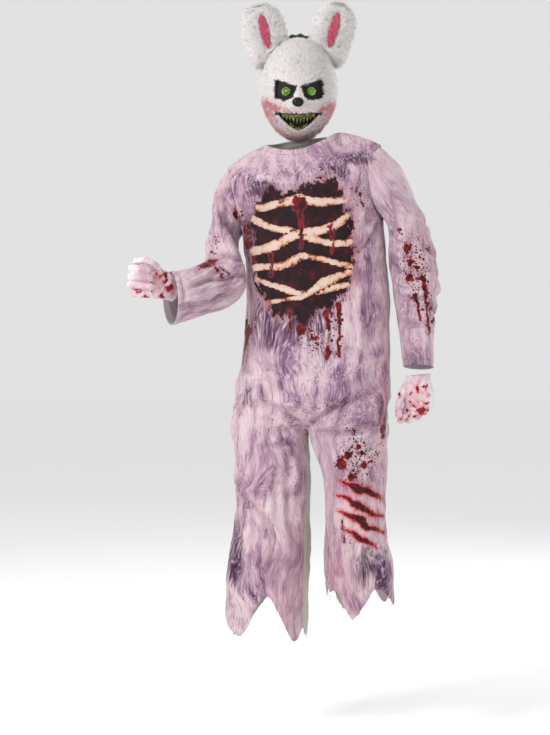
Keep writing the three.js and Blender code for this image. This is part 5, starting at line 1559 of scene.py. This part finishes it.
@dataclass(frozen=True)
class Pile:
    """Strands that stand on a ground, each a tapered ribbon with one bend. Lengths in millimetres.

    Real pile is 0.05 mm thick, and its strands are drawn about 1 mm wide so that they show.
    """

    count: int
    short: float
    long: float
    wide: float
    stand: float
    lock: float
    seed: int
    stray: float = 0.22

    def grow(self, name: str, ground: Mesh, comb: np.ndarray, length: np.ndarray) -> Mesh:
        """Grows the pile.

        Args:
            name: The new mesh's name.
            ground: The mesh it stands on, with tint at each vertex.
            comb: The way the pile lies at each vertex of the ground.
            length: The share of the full length at each vertex, and none where it is below 0.05.

        Returns:
            The strands as one mesh.
        """
        rng = np.random.default_rng(self.seed)
        ground.calc_loop_triangles()
        corners = np.empty(len(ground.loop_triangles) * 3, np.int32)
        ground.loop_triangles.foreach_get("vertices", corners)
        corners = corners.reshape(-1, 3)
        points, facing = places(ground), normals(ground)
        tint = np.empty(len(points), np.float32)
        ground.attributes["tint"].data.foreach_get("value", tint)
        a, b, c = (points[corners[:, k]] for k in range(3))
        area = np.linalg.norm(np.cross(b - a, c - a), axis=1) * (length[corners].mean(1) > 0.05)
        chosen = corners[rng.choice(len(corners), self.count, p=area / area.sum())]
        share = rng.dirichlet((1, 1, 1), self.count)

        def between(values: np.ndarray) -> np.ndarray:
            """Values at the strands' roots, from those at the ground's corners."""
            weights = share if values.ndim == 1 else share[:, :, None]
            return (values[chosen] * weights).sum(1)

        root, up, lie = between(points), between(facing), between(comb)
        up /= np.linalg.norm(up, axis=1)[:, None] + 1e-9
        lie += rng.normal(size=lie.shape) * self.stray
        lie -= up * (lie * up).sum(1)[:, None]
        lie /= np.linalg.norm(lie, axis=1)[:, None] + 1e-9
        first = up * self.stand + lie * (1 - self.stand) + rng.normal(size=lie.shape) * self.stray * 0.5
        first /= np.linalg.norm(first, axis=1)[:, None]
        last = first * 0.5 + lie * 0.5 + rng.normal(size=lie.shape) * self.stray * 0.6
        last[:, 2] -= 0.12
        last /= np.linalg.norm(last, axis=1)[:, None]
        full = rng.uniform(self.short, self.long, self.count) * np.clip(between(length), 0.12, 2) * MM
        middle = root + first * (full * 0.52)[:, None]
        tip = middle + last * (full * 0.48)[:, None]
        if self.lock:
            leaders = rng.choice(self.count, max(4, int(area.sum() / 2 / (self.lock * MM) ** 2)), replace=False)
            tree = KDTree(len(leaders))
            for leader in leaders:
                tree.insert(tip[leader], int(leader))
            tree.balance()
            lead = np.array([tree.find(p)[1] for p in tip])
            pull = rng.uniform(0.15, 0.65, self.count)[:, None]
            tip += (tip[lead] - tip) * pull
            middle += (middle[lead] - middle) * pull * 0.35
        side = np.cross(first, up + rng.normal(size=up.shape) * 0.35)
        side *= (self.wide * MM / 2 / (np.linalg.norm(side, axis=1) + 1e-9))[:, None]
        rows = np.stack([root - side, root + side, middle + side * 0.8, middle - side * 0.8, tip], axis=1)
        start = np.arange(self.count)[:, None] * 5
        quads = (start + np.array([0, 1, 2, 3])).ravel()
        tips = (start + np.array([3, 2, 4])).ravel()
        made = bpy.data.meshes.new(name)
        made.vertices.add(self.count * 5)
        made.vertices.foreach_set("co", rows.ravel())
        made.loops.add(self.count * 7)
        made.loops.foreach_set("vertex_index", np.concatenate([quads, tips]))
        made.polygons.add(self.count * 2)
        made.polygons.foreach_set(
            "loop_start", np.concatenate([np.arange(self.count) * 4, self.count * 4 + np.arange(self.count) * 3])
        )
        made.update(calc_edges=True)
        store(made, "along", np.tile((0.0, 0.0, 0.6, 0.6, 1.0), self.count))
        shade = between(tint)
        fleck = np.clip(shade * 1.1 + rng.normal(size=self.count) * 0.28 * (shade > 0.03), 0, 1)
        store(made, "tint", np.repeat(np.where(shade < -0.1, -1.0, fleck), 5))
        store(made, "luck", np.repeat(rng.uniform(0, 1, self.count) ** 2.2, 5))
        made.shade_smooth()
        # The pile takes the light as one soft surface, as real pile of thousands of fine hairs does.
        soft = np.repeat(up + rng.normal(size=up.shape) * 0.22 + last * 0.25, 5, axis=0)
        made.normals_split_custom_set_from_vertices(soft / np.linalg.norm(soft, axis=1)[:, None])
        return made


@dataclass
class PlushPiece:
    """A plush piece: a smooth ground with pile on its outside."""

    node: str
    slot: str
    pile: Pile
    plush: Finish
    ground: Finish
    voxel: float = 2.5
    shrink: float = 2.0

    def base(self) -> Object:
        """Makes the ground from the solid: rounded, and smaller by the height of the pile.

        Returns:
            The ground, without its finish.
        """
        bm = solid_copy(self.node)
        made = piece(self.node + "_ground", mesh_from(bm))
        rounded(made, self.voxel, 4)
        points, facing = places(made.data), normals(made.data)
        move_to(made.data, points - facing * self.shrink * MM)
        return made

    def tint(self, points: np.ndarray, facing: np.ndarray) -> np.ndarray:
        """How much sprayed colour each place has. None unless a piece says so."""
        return np.zeros(len(points))

    def comb(self, points: np.ndarray, facing: np.ndarray) -> np.ndarray:
        """Which way the pile lies at each place. Down, unless a piece says so."""
        return np.tile((0.0, 0.0, -1.0), (len(points), 1))

    def length(self, points: np.ndarray, facing: np.ndarray) -> np.ndarray:
        """The share of the pile's full length at each place."""
        return np.ones(len(points))

    def shape(self, points: np.ndarray) -> np.ndarray:
        """Moves the ground's places where a piece needs it."""
        return points

    def build(self) -> list[Object]:
        """Makes the ground and its pile.

        Returns:
            The ground and the pile.
        """
        made = self.base()
        move_to(made.data, self.shape(places(made.data)))
        points, facing = places(made.data), normals(made.data)
        store(made.data, "tint", self.tint(points, facing))
        dress(made.data, self.ground)
        pile = piece(
            self.node + "_pile",
            self.pile.grow(self.node + "_pile", made.data, self.comb(points, facing), self.length(points, facing)),
        )
        pile.data.materials.append(self.plush.material())
        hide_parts(self.node)
        for part in (made, pile):
            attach(part, BODY)
        LOG.info("%s: %d strands", self.node, self.pile.count)
        return [made, pile]


@dataclass
class MaskFace(PlushPiece):
    """The rabbit's face: short pile that lies outwards from the nose, sprayed round the mouth."""

    nose: tuple[float, float, float] = (-10.7, -130.0, 84.0)
    middle: tuple[float, float, float] = (-9.0, 20.0, 132.0)
    eye: tuple = ((11, 119), (34, 128), (57, 136), (58, 99), (36, 91), (19, 95))
    mouth: tuple = (
        (-58.5, 59), (-30, 52), (0, 49), (30, 52), (58.5, 59), (42, 40), (20, 22), (0, 14), (-20, 22), (-42, 40)
    )
    spray: tuple = (
        Run(
            (
                (266, 103), (269, 116), (276, 127), (287, 135), (299, 138), (311, 135), (321, 128), (329, 117),
                (331, 107),
            ),
            4.6, 4.2, 4.6,
        ),
        Run(((266, 102), (273, 105), (283, 109)), 4.4, 3.8, 2.6), Blot((292, 112), 7.0, 3.0),
        Run(((318, 111), (324, 108), (331, 105)), 2.4, 3.4, 4.0), Blot((270, 112), 5.0, 6.0),
        Blot((328, 112), 4.5, 6.0),
    )

    def tint(self, points: np.ndarray, facing: np.ndarray) -> np.ndarray:
        """Pink round the mouth, the cheeks and the chin, in uneven dabs, and black round the eye and mouth holes and
        on their walls.

        Args:
            points: Places on the ground.
            facing: The way each place faces.

        Returns:
            The amount at each place, and -1 where it is black.
        """
        spots = VIEW.spots(points)
        depth = np.max([mark.depth(spots) for mark in self.spray], axis=0)
        depth += ripple(points / MM, 16, 3) * 1.8 + ripple(points / MM, 6, 4) * 1.4
        sprayed = smoothstep(-2.2, 3.6, depth) * smoothstep(0.3, -0.2, facing[:, 1])
        mm = points / MM
        flat = np.stack([np.abs(mm[:, 0] - self.nose[0]), mm[:, 2]], axis=1)
        rough = ripple(mm, 9, 41) * 2.4 + ripple(mm, 4.5, 42) * 1.6
        rim = np.maximum(outline_depth(flat, self.eye), outline_depth(flat, self.mouth) - 2.0)
        # Black round the eye and mouth holes, and on the holes' walls, on the front half.
        black_round_holes = ((rim + 3.8 + rough > 0) & (facing[:, 1] < 0.2)) | (rim > -4.0)
        return np.where(black_round_holes & (mm[:, 1] < 0), -1.0, sprayed)

    def comb(self, points: np.ndarray, facing: np.ndarray) -> np.ndarray:
        """Outwards from the nose, and down below it.

        Args:
            points: Places on the ground.
            facing: Not used.

        Returns:
            A direction for each place.
        """
        lie = points / MM - np.array(self.nose)
        lie /= np.linalg.norm(lie, axis=1)[:, None] + 1e-6
        lie[:, 2] -= 0.25
        return lie

    def length(self, points: np.ndarray, facing: np.ndarray) -> np.ndarray:
        """Short on the muzzle, longer at the brow and the rim, none inside.

        Args:
            points: Places on the ground.
            facing: The way each place faces.

        Returns:
            The share at each place.
        """
        mm = points / MM
        outward = mm - np.array(self.middle)
        outward /= np.linalg.norm(outward, axis=1)[:, None]
        outside = (outward * facing).sum(1) > -0.05
        far = np.linalg.norm(mm - np.array(self.nose), axis=1)
        flat = np.stack([np.abs(mm[:, 0] - self.nose[0]), mm[:, 2]], axis=1)
        rim = np.maximum(outline_depth(flat, self.eye), outline_depth(flat, self.mouth))
        near_hole = np.where(facing[:, 1] < 0.2, smoothstep(-2.5, -12, rim) * 0.5 + 0.5, 1.0)
        return np.where(outside, (0.5 + 1.15 * smoothstep(30, 125, far)) * near_hole, 0.0)


@dataclass
class Ear(PlushPiece):
    """A padded ear: long pile in locks, open over a dark pink middle."""

    base_at: tuple[float, float, float] = (0.0, 0.0, 0.0)
    tip_at: tuple[float, float, float] = (0.0, 0.0, 100.0)
    narrow: float = 0.74
    low: float = 0.92

    def along(self, points: np.ndarray) -> tuple[np.ndarray, np.ndarray, np.ndarray]:
        """Splits places into how far up the ear they are, and how far beside its line.

        Args:
            points: Places in metres.

        Returns:
            The share of the ear's length, the offset from its line, and the line itself.
        """
        base, tip = np.array(self.base_at) * MM, np.array(self.tip_at) * MM
        axis = tip - base
        share = (points - base) @ axis / (axis @ axis)
        return share, points - base - share[:, None] * axis, axis

    def shape(self, points: np.ndarray) -> np.ndarray:
        """Leaves room for the pile inside the ear's outline.

        Args:
            points: Places on the ground.

        Returns:
            The new places.
        """
        share, beside, axis = self.along(points)
        across = np.interp(share, (0.0, 0.4, 1.0), (0.98, self.narrow + 0.04, self.narrow))
        beside = beside * np.stack([across, np.full(len(share), 0.8), across], axis=1)
        return np.array(self.base_at) * MM + np.minimum(share, 1.2)[:, None] * axis * self.low + beside

    def comb(self, points: np.ndarray, facing: np.ndarray) -> np.ndarray:
        """Outwards from the ear's middle line, and a little up it.

        Args:
            points: Places on the ground.
            facing: Not used.

        Returns:
            A direction for each place.
        """
        _, beside, axis = self.along(points)
        outward = beside * (1, 0.2, 1) / (0.03 + np.linalg.norm(beside, axis=1)[:, None])
        return axis / np.linalg.norm(axis) * 0.22 + outward * 1.3

    def length(self, points: np.ndarray, facing: np.ndarray) -> np.ndarray:
        """Longest at the edges, short in the front beside the pink, none over it.

        Args:
            points: Places on the ground.
            facing: The way each place faces.

        Returns:
            The share at each place.
        """
        share, beside, _ = self.along(points)
        wide = np.linalg.norm(beside * (1, 0, 1), axis=1) / MM
        front = facing[:, 1] < -0.2
        near = smoothstep(6, 26, wide) * 0.75 + 0.3
        over = front & (wide < 11) & (share > 0.16) & (share < 0.8)
        return np.where(over, 0.0, np.where(front, near, 1.0))


@dataclass
class EarMiddle(PlushPiece):
    """The dark pink middle of an ear, cut from shorter plush."""

    def tint(self, points: np.ndarray, facing: np.ndarray) -> np.ndarray:
        """All of it is dyed."""
        return np.ones(len(points))

    def comb(self, points: np.ndarray, facing: np.ndarray) -> np.ndarray:
        """Down and a little outwards."""
        centre = points.mean(0)
        return (points - centre) * (12, 0, 0) + (0, -0.2, -1)

    def length(self, points: np.ndarray, facing: np.ndarray) -> np.ndarray:
        """Only the front has pile."""
        return np.where(facing[:, 1] < 0.1, 1.0, 0.0)


@dataclass
class LipBand(EarMiddle):
    """The band of short white pile round the mouth, inside the sprayed ring."""

    def tint(self, points: np.ndarray, facing: np.ndarray) -> np.ndarray:
        """Nearly clean, with a breath of the spray at its edges."""
        return 0.12 + ripple(points / MM, 9, 61) * 0.12


@dataclass
class Glove:
    """A thin stretch glove on a hand's form, with a stitched hem, small folds and rubbed stains."""

    node: str
    slot: str
    flat: tuple[float, float]
    area: float
    wrist: tuple[float, float, float]
    stains: tuple
    rubbed: tuple
    voxel: float = 1.7
    thick: float = 0.8
    hem: float = 8.0
    short: float = 1.6
    seed: int = 1

    def form(self) -> tuple[Object, Vector, Vector]:
        """Takes the outside of the solid and rounds it.

        Returns:
            The form, closed over the wrist, a point of the wrist's plane, and the way up the arm.
        """
        bm = solid_copy(self.node)
        thin = [f for f in bm.faces if 2 * f.calc_area() < max(e.calc_length() for e in f.edges) * 2.3 * MM]
        flush = {}
        for face in thin:
            key = (*(round(c, 1) for c in face.normal), round(face.normal.dot(face.calc_center_median()) / MM))
            flush.setdefault(key, []).append(face)
        wide = [faces for faces in flush.values() if sum(f.calc_area() for f in faces) > 150 * MM**2]
        most = min(wide, key=lambda faces: (faces[0].calc_center_median() / MM - Vector(self.wrist)).length)
        way = sum((f.normal * f.calc_area() for f in most), Vector()).normalized()
        level = way.dot(most[0].calc_center_median())
        rim = [
            f for f in bm.faces
            if f.normal.dot(way) > 0.97 and abs(way.dot(f.calc_center_median()) - level) < 0.3 * MM
            and (f.calc_center_median() / MM - Vector(self.wrist)).length < 60
        ]
        bmesh.ops.delete(bm, geom=rim, context="FACES")
        keep_outer(bm)
        wrist = [v.co.copy() for v in bm.verts if v.is_boundary]
        bmesh.ops.holes_fill(bm, edges=[e for e in bm.edges if e.is_boundary], sides=0)
        made = piece(self.node + "_knit", mesh_from(bm))
        rounded(made, self.voxel, 5)
        return made, sum(wrist, Vector()) / len(wrist), way

    def build(self) -> Object:
        """Makes the glove: cut open at the wrist, hemmed, and made a little uneven all over.

        Returns:
            The piece.
        """
        made, wrist, way = self.form()
        mesh = made.data
        bm = bmesh.new()
        bm.from_mesh(mesh)
        everything = bm.verts[:] + bm.edges[:] + bm.faces[:]
        cut = wrist - way * self.short * MM
        bmesh.ops.bisect_plane(bm, geom=everything, dist=1e-6, plane_co=cut, plane_no=way, clear_outer=True)
        bm.to_mesh(mesh)
        bm.free()
        points, facing = places(mesh), normals(mesh)
        mm = points / MM
        inward = (np.array(wrist) - points) @ np.array(way) / MM - self.short
        lift = ripple(mm, 22, self.seed) * 0.8 + ripple(mm * (1, 1, 1.6), 9, self.seed + 1) * 0.5
        groove = 0.6 * np.exp(-(((inward - self.hem) / 1.5) ** 2))
        lift += 0.5 * smoothstep(self.hem + 1, self.hem - 1, inward) - groove
        move_to(mesh, points + facing * (lift * MM)[:, None])
        spots = VIEW.spots(places(mesh))
        depth, rubbed = (
            np.max([mark.depth(spots) for mark in marks], axis=0) for marks in (self.stains, self.rubbed)
        )
        depth = np.maximum(depth * 1.4, np.minimum(rubbed, -0.9))
        store(mesh, "blood", np.clip(depth, -6, 4) - smoothstep(-0.1, 0.5, facing[:, 1]) * 6)
        dress(mesh, GloveKnit())
        wall = made.modifiers.new("thickness", "SOLIDIFY")
        wall.thickness, wall.offset = self.thick * MM, -1.0
        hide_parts(self.node)
        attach(made, BODY)
        LOG.info("%s: %d vertices", made.name, len(mesh.vertices))
        return made


@dataclass
class SoftPiece:
    """A small soft piece: its solid made finer and a little uneven, its edges run in behind the plush."""

    node: str
    slot: str
    finish: Finish
    flat: tuple[float, float]
    area: float
    cuts: int = 2
    spread: tuple[float, float, float] = (1.0, 1.0, 1.0)
    back: float = 0.0
    uneven: float = 0.35
    size: float = 18.0
    held: str = "stretched"

    def build(self) -> Object:
        """Returns:
            The piece.
        """
        bm = solid_copy(self.node)
        long = [e for e in bm.edges if e.calc_length() > 2.4 * MM]
        bmesh.ops.subdivide_edges(bm, edges=long, cuts=self.cuts, use_grid_fill=True)
        bmesh.ops.triangulate(bm, faces=[f for f in bm.faces if len(f.verts) > 4])
        made = piece(self.node + "_soft", mesh_from(bm))
        mesh = made.data
        points, facing = places(mesh), normals(mesh)
        middle = (points.min(0) + points.max(0)) / 2
        points = middle + (points - middle) * self.spread + (0, self.back * MM, 0)
        move_to(mesh, points + facing * (ripple(points / MM, self.size, 51) * self.uneven * MM)[:, None])
        dress(mesh, self.finish)
        mesh.set_sharp_from_angle(angle=math.radians(50))
        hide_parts(self.node)
        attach(made, BODY)
        LOG.info("%s: %d vertices", made.name, len(mesh.vertices))
        return made


# Sub-assemblies


@dataclass
class Suit:
    """The jumpsuit: two printed fronts, two plain backs, two sleeves and the closure strip."""

    printed: Finish = field(default_factory=PrintedKnit)
    plain: Finish = field(default_factory=PlainKnit)
    wrong: Finish = field(default_factory=WrongSide)
    print: Print = field(default_factory=Print)

    def pieces(self) -> tuple[Cloth, ...]:
        """The cut pieces, with the flat sizes of their cuts in metres.

        Returns:
            The pieces, in the order in which they are made.
        """
        front = FRONT_CREASES + SIDE_CREASES
        back = BACK_CREASES + SIDE_CREASES
        return (
            Cloth(
                "front_right", "printed_knit", self.printed, self.wrong, (0.34, 1.36), 0.366, front, print=self.print,
                seed=11,
            ),
            Cloth(
                "front_left", "printed_knit", self.printed, self.wrong, (0.34, 1.30), 0.333, front, print=self.print,
                seed=12,
            ),
            Cloth("back_right", "plain_knit", self.plain, self.plain, (0.34, 1.38), 0.370, back, seed=13),
            Cloth("back_left", "plain_knit", self.plain, self.plain, (0.34, 1.32), 0.342, back, seed=14),
            Cloth(
                "sleeve_right", "printed_knit", self.printed, self.wrong, (0.40, 0.48), 0.173,
                RIGHT_SLEEVE_CREASES, Lie.DOWN_RIGHT_ARM, self.print, seed=15,
            ),
            Cloth(
                "sleeve_left", "printed_knit", self.printed, self.wrong, (0.42, 0.56), 0.2136,
                LEFT_SLEEVE_CREASES, Lie.DOWN_LEFT_ARM, self.print, seed=16,
            ),
            Cloth(
                "back_underlap", "plain_knit", self.plain, self.plain, (0.032, 0.48), 0.0147, (), seed=17, pucker=0.0
            ),
        )

    def build(self) -> None:
        """Makes every cut piece and the pulled yarns of the torn hems."""
        for cut in self.pieces():
            made = cut.build()
            if cut.node.startswith(("front", "back_right", "back_left")):
                Fringe(cut.node, made, cut.slot, cut.seed).build()


@dataclass
class Fringe:
    """Pulled yarns along one torn hem."""

    node: str
    cloth: Object
    slot: str
    seed: int
    count: int = 46
    short: float = 4.0
    long: float = 17.0
    thick: float = 0.7

    def build(self) -> Object:
        """Hangs the yarns from the hem's edge as one joined mesh.

        Returns:
            The piece.
        """
        rng = np.random.default_rng(self.seed)
        source = bmesh.new()
        source.from_mesh(self.cloth.data)
        hem = [v.co.copy() for v in source.verts if v.is_boundary and v.co.z < POINTS_BELOW]
        source.free()
        bm = bmesh.new()
        for index in rng.choice(len(hem), self.count):
            length = rng.uniform(self.short, self.long) * MM * (1.0 if rng.uniform() < 0.85 else 1.7)
            at = hem[int(index)] + Vector((0, 0, 1.5 * MM))
            sway = Vector((rng.normal() * 0.35, rng.normal() * 0.3, -1.0)).normalized()
            radius, steps = self.thick * MM / 2, 4
            ring = bmesh.ops.create_circle(bm, cap_ends=True, radius=radius, segments=4)["verts"]
            bmesh.ops.translate(bm, verts=ring, vec=at)
            face = ring[0].link_faces[0]
            for _ in range(steps):
                sway = (sway + Vector((rng.normal() * 0.3, rng.normal() * 0.3, -0.25))).normalized()
                grown = bmesh.ops.extrude_face_region(bm, geom=[face])["geom"]
                corners = [g for g in grown if isinstance(g, bmesh.types.BMVert)]
                bmesh.ops.translate(bm, verts=corners, vec=sway * (length / steps))
                face = [g for g in grown if isinstance(g, bmesh.types.BMFace)][0]
        bmesh.ops.recalc_face_normals(bm, faces=bm.faces[:])
        made = piece(self.node + "_yarns", mesh_from(bm))
        made.data.materials.append(Thread().material())
        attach(made, BODY)
        return made


@dataclass
class Mask:
    """The plush mask with its ears, eyes, nose, mouth and harness."""

    plush: Finish = field(default_factory=Plush)
    ground: Finish = field(default_factory=PlushGround)
    rose: Finish = field(default_factory=lambda: Plush(name="dyed_acrylic_plush", stain="#FF5F88", fleck="#A8234A"))
    rose_ground: Finish = field(default_factory=lambda: PlushGround(name="dyed_plush_ground", stain="#E8446C"))
    lip: Finish = field(default_factory=lambda: PlushGround(name="shaved_plush", colour="#F6EEF0"))

    def build(self) -> None:
        """Makes the plush pieces and dresses the moulded ones."""
        MaskFace(
            "mask_face", "face_plush", Pile(56000, 5.5, 10.5, 0.85, 0.45, 8.0, 21, 0.3), self.plush, self.ground
        ).build()
        for side, base, tip, seed in (
            ("right", (-82, -28, 205), (-119, -24, 367), 22), ("left", (62, -28, 208), (105, -24, 371), 23)
        ):
            Ear(
                "ear_" + side, "ear_plush", Pile(36000, 13.0, 30.0, 0.85, 0.42, 9.0, seed, 0.38), self.plush,
                self.ground, voxel=3.0, shrink=1.0, base_at=base, tip_at=tip,
            ).build()
            EarMiddle(
                "ear_patch_" + side, "patch_plush", Pile(2800, 5.0, 9.0, 0.9, 0.5, 4.0, seed + 10), self.rose,
                self.rose_ground, voxel=1.0, shrink=0.0,
            ).build()
        LipBand(
            "lip_rim", "lip_plush", Pile(5200, 2.6, 5.0, 0.8, 0.45, 4.0, 25, 0.3), self.plush, self.lip, voxel=1.3,
            shrink=0.4,
        ).build()
        self.nose()
        for soft in (
            SoftPiece(
                "mouth_backing", "black_mesh", BlackNet(), (0.138, 0.053), 0.0056, cuts=3, spread=(1.06, 1.0, 1.17),
                back=0.6, uneven=0.5,
            ),
            *(
                SoftPiece(
                    node, "black_mesh", BlackNet(), (0.059, 0.054), 0.0023, cuts=3, spread=(1.18, 1.18, 1.18), back=0.4
                )
                for node in ("eye_mesh_right", "eye_mesh_left")
            ),
            SoftPiece("strap_side", "black_elastic", WovenElastic(), (0.022, 0.33), 0.0072),
            SoftPiece("strap_crown", "black_elastic", WovenElastic(), (0.062, 0.18), 0.011, held="gathered"),
        ):
            soft.build()
        for node, finish in (
            ("teeth_upper", PaintedFoam()), ("teeth_lower", PaintedFoam()),
            ("eye_light_right", GreenLens()), ("eye_light_left", GreenLens()),
        ):
            solid = bpy.data.objects[node]
            solid.data.materials.clear()
            solid.data.materials.append(finish.material())

    def nose(self) -> None:
        """Rounds the button nose."""
        made = piece("nose_button", mesh_from(solid_copy("nose")))
        smooth = made.modifiers.new("smooth", "SUBSURF")
        smooth.levels = smooth.render_levels = 2
        dress(made.data, MouldedNose())
        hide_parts("nose")
        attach(made, BODY)


@dataclass
class Gloves:
    """The pair of gloves."""

    def build(self) -> None:
        """Makes both gloves."""
        Glove(
            "glove_right", "glove_knit", (0.23, 0.24), 0.048, (-355, -99, -413),
            (
                Blot((157, 273), 2.4, 2.6), Blot((166, 275), 2.2, 3.6), Blot((170, 288), 3.2, 4.4),
                Blot((161, 296), 2.6, 4.0), Blot((141, 292), 3.0, 1.4),
            ),
            (Blot((164, 281), 8, 13), Blot((143, 294), 6, 3)), seed=31,
        ).build()
        Glove(
            "glove_left", "glove_knit", (0.21, 0.20), 0.038, (303, -80, -634),
            (
                Blot((417, 391), 2.6, 4.6), Blot((424, 386), 2.4, 2.2), Blot((421, 411), 5.0, 4.2),
                Blot((412, 416), 4.4, 2.2), Blot((400, 395), 1.6, 2.6),
            ),
            (Blot((419, 401), 9, 16), Blot((404, 414), 9, 4)), seed=32,
        ).build()


@dataclass
class Studio:
    """A wide pale floor, soft lamps and the camera."""

    floor: float = -1.605
    wide: float = 40.0
    lamps: tuple = (
        ("key", (-3.0, -2.6, 1.7), 1.2, 108.0), ("fill", (2.6, -3.0, 0.2), 2.6, 12.0),
        ("back", (2.4, 2.8, 1.4), 1.1, 46.0), ("back_fill", (-2.8, 2.4, 0.2), 2.2, 8.0),
    )

    def build(self) -> None:
        """Makes the floor, the lamps and the camera."""
        bm = bmesh.new()
        ring = bmesh.ops.create_circle(bm, cap_ends=True, radius=self.wide, segments=96)["verts"]
        bmesh.ops.translate(bm, verts=ring, vec=(0, 0, self.floor))
        floor = piece("floor", mesh_from(bm))
        floor.data.materials.append(PaleFloor().material())
        for name, at, size, power in self.lamps:
            data = bpy.data.lights.new(name, "AREA")
            data.shape, data.size, data.energy = "DISK", size, power
            lamp = bpy.data.objects.new(name, data)
            lamp.location = at
            lamp.rotation_euler = (Vector((0.0, 0.0, -0.6)) - Vector(at)).to_track_quat("-Z", "Y").to_euler()
            bpy.context.scene.collection.objects.link(lamp)
        world = bpy.data.worlds.new("studio")
        world.use_nodes = True
        world.node_tree.nodes["Background"].inputs["Color"].default_value = (1, 1, 1, 1)
        world.node_tree.nodes["Background"].inputs["Strength"].default_value = 0.76
        bpy.context.scene.world = world
        bpy.context.scene.view_settings.view_transform = "Standard"
        data = bpy.data.cameras.new("camera")
        data.sensor_width, data.lens = 36.0, VIEW.lens
        camera = bpy.data.objects.new("camera", data)
        camera.location = (VIEW.x * MM, -VIEW.away * MM, VIEW.z * MM)
        camera.rotation_euler = (math.pi / 2, 0, 0)
        bpy.context.scene.collection.objects.link(camera)
        bpy.context.scene.camera = camera


def main() -> None:
    """Builds the costume on its solids, and the studio round it."""
    logging.basicConfig(level=logging.INFO, format="%(message)s")
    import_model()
    Suit().build()
    LOG.info("suit made")
    Mask().build()
    LOG.info("mask made")
    Gloves().build()
    LOG.info("gloves made")
    Studio().build()
    bpy.context.view_layer.update()


if __name__ == "__main__":
    main()
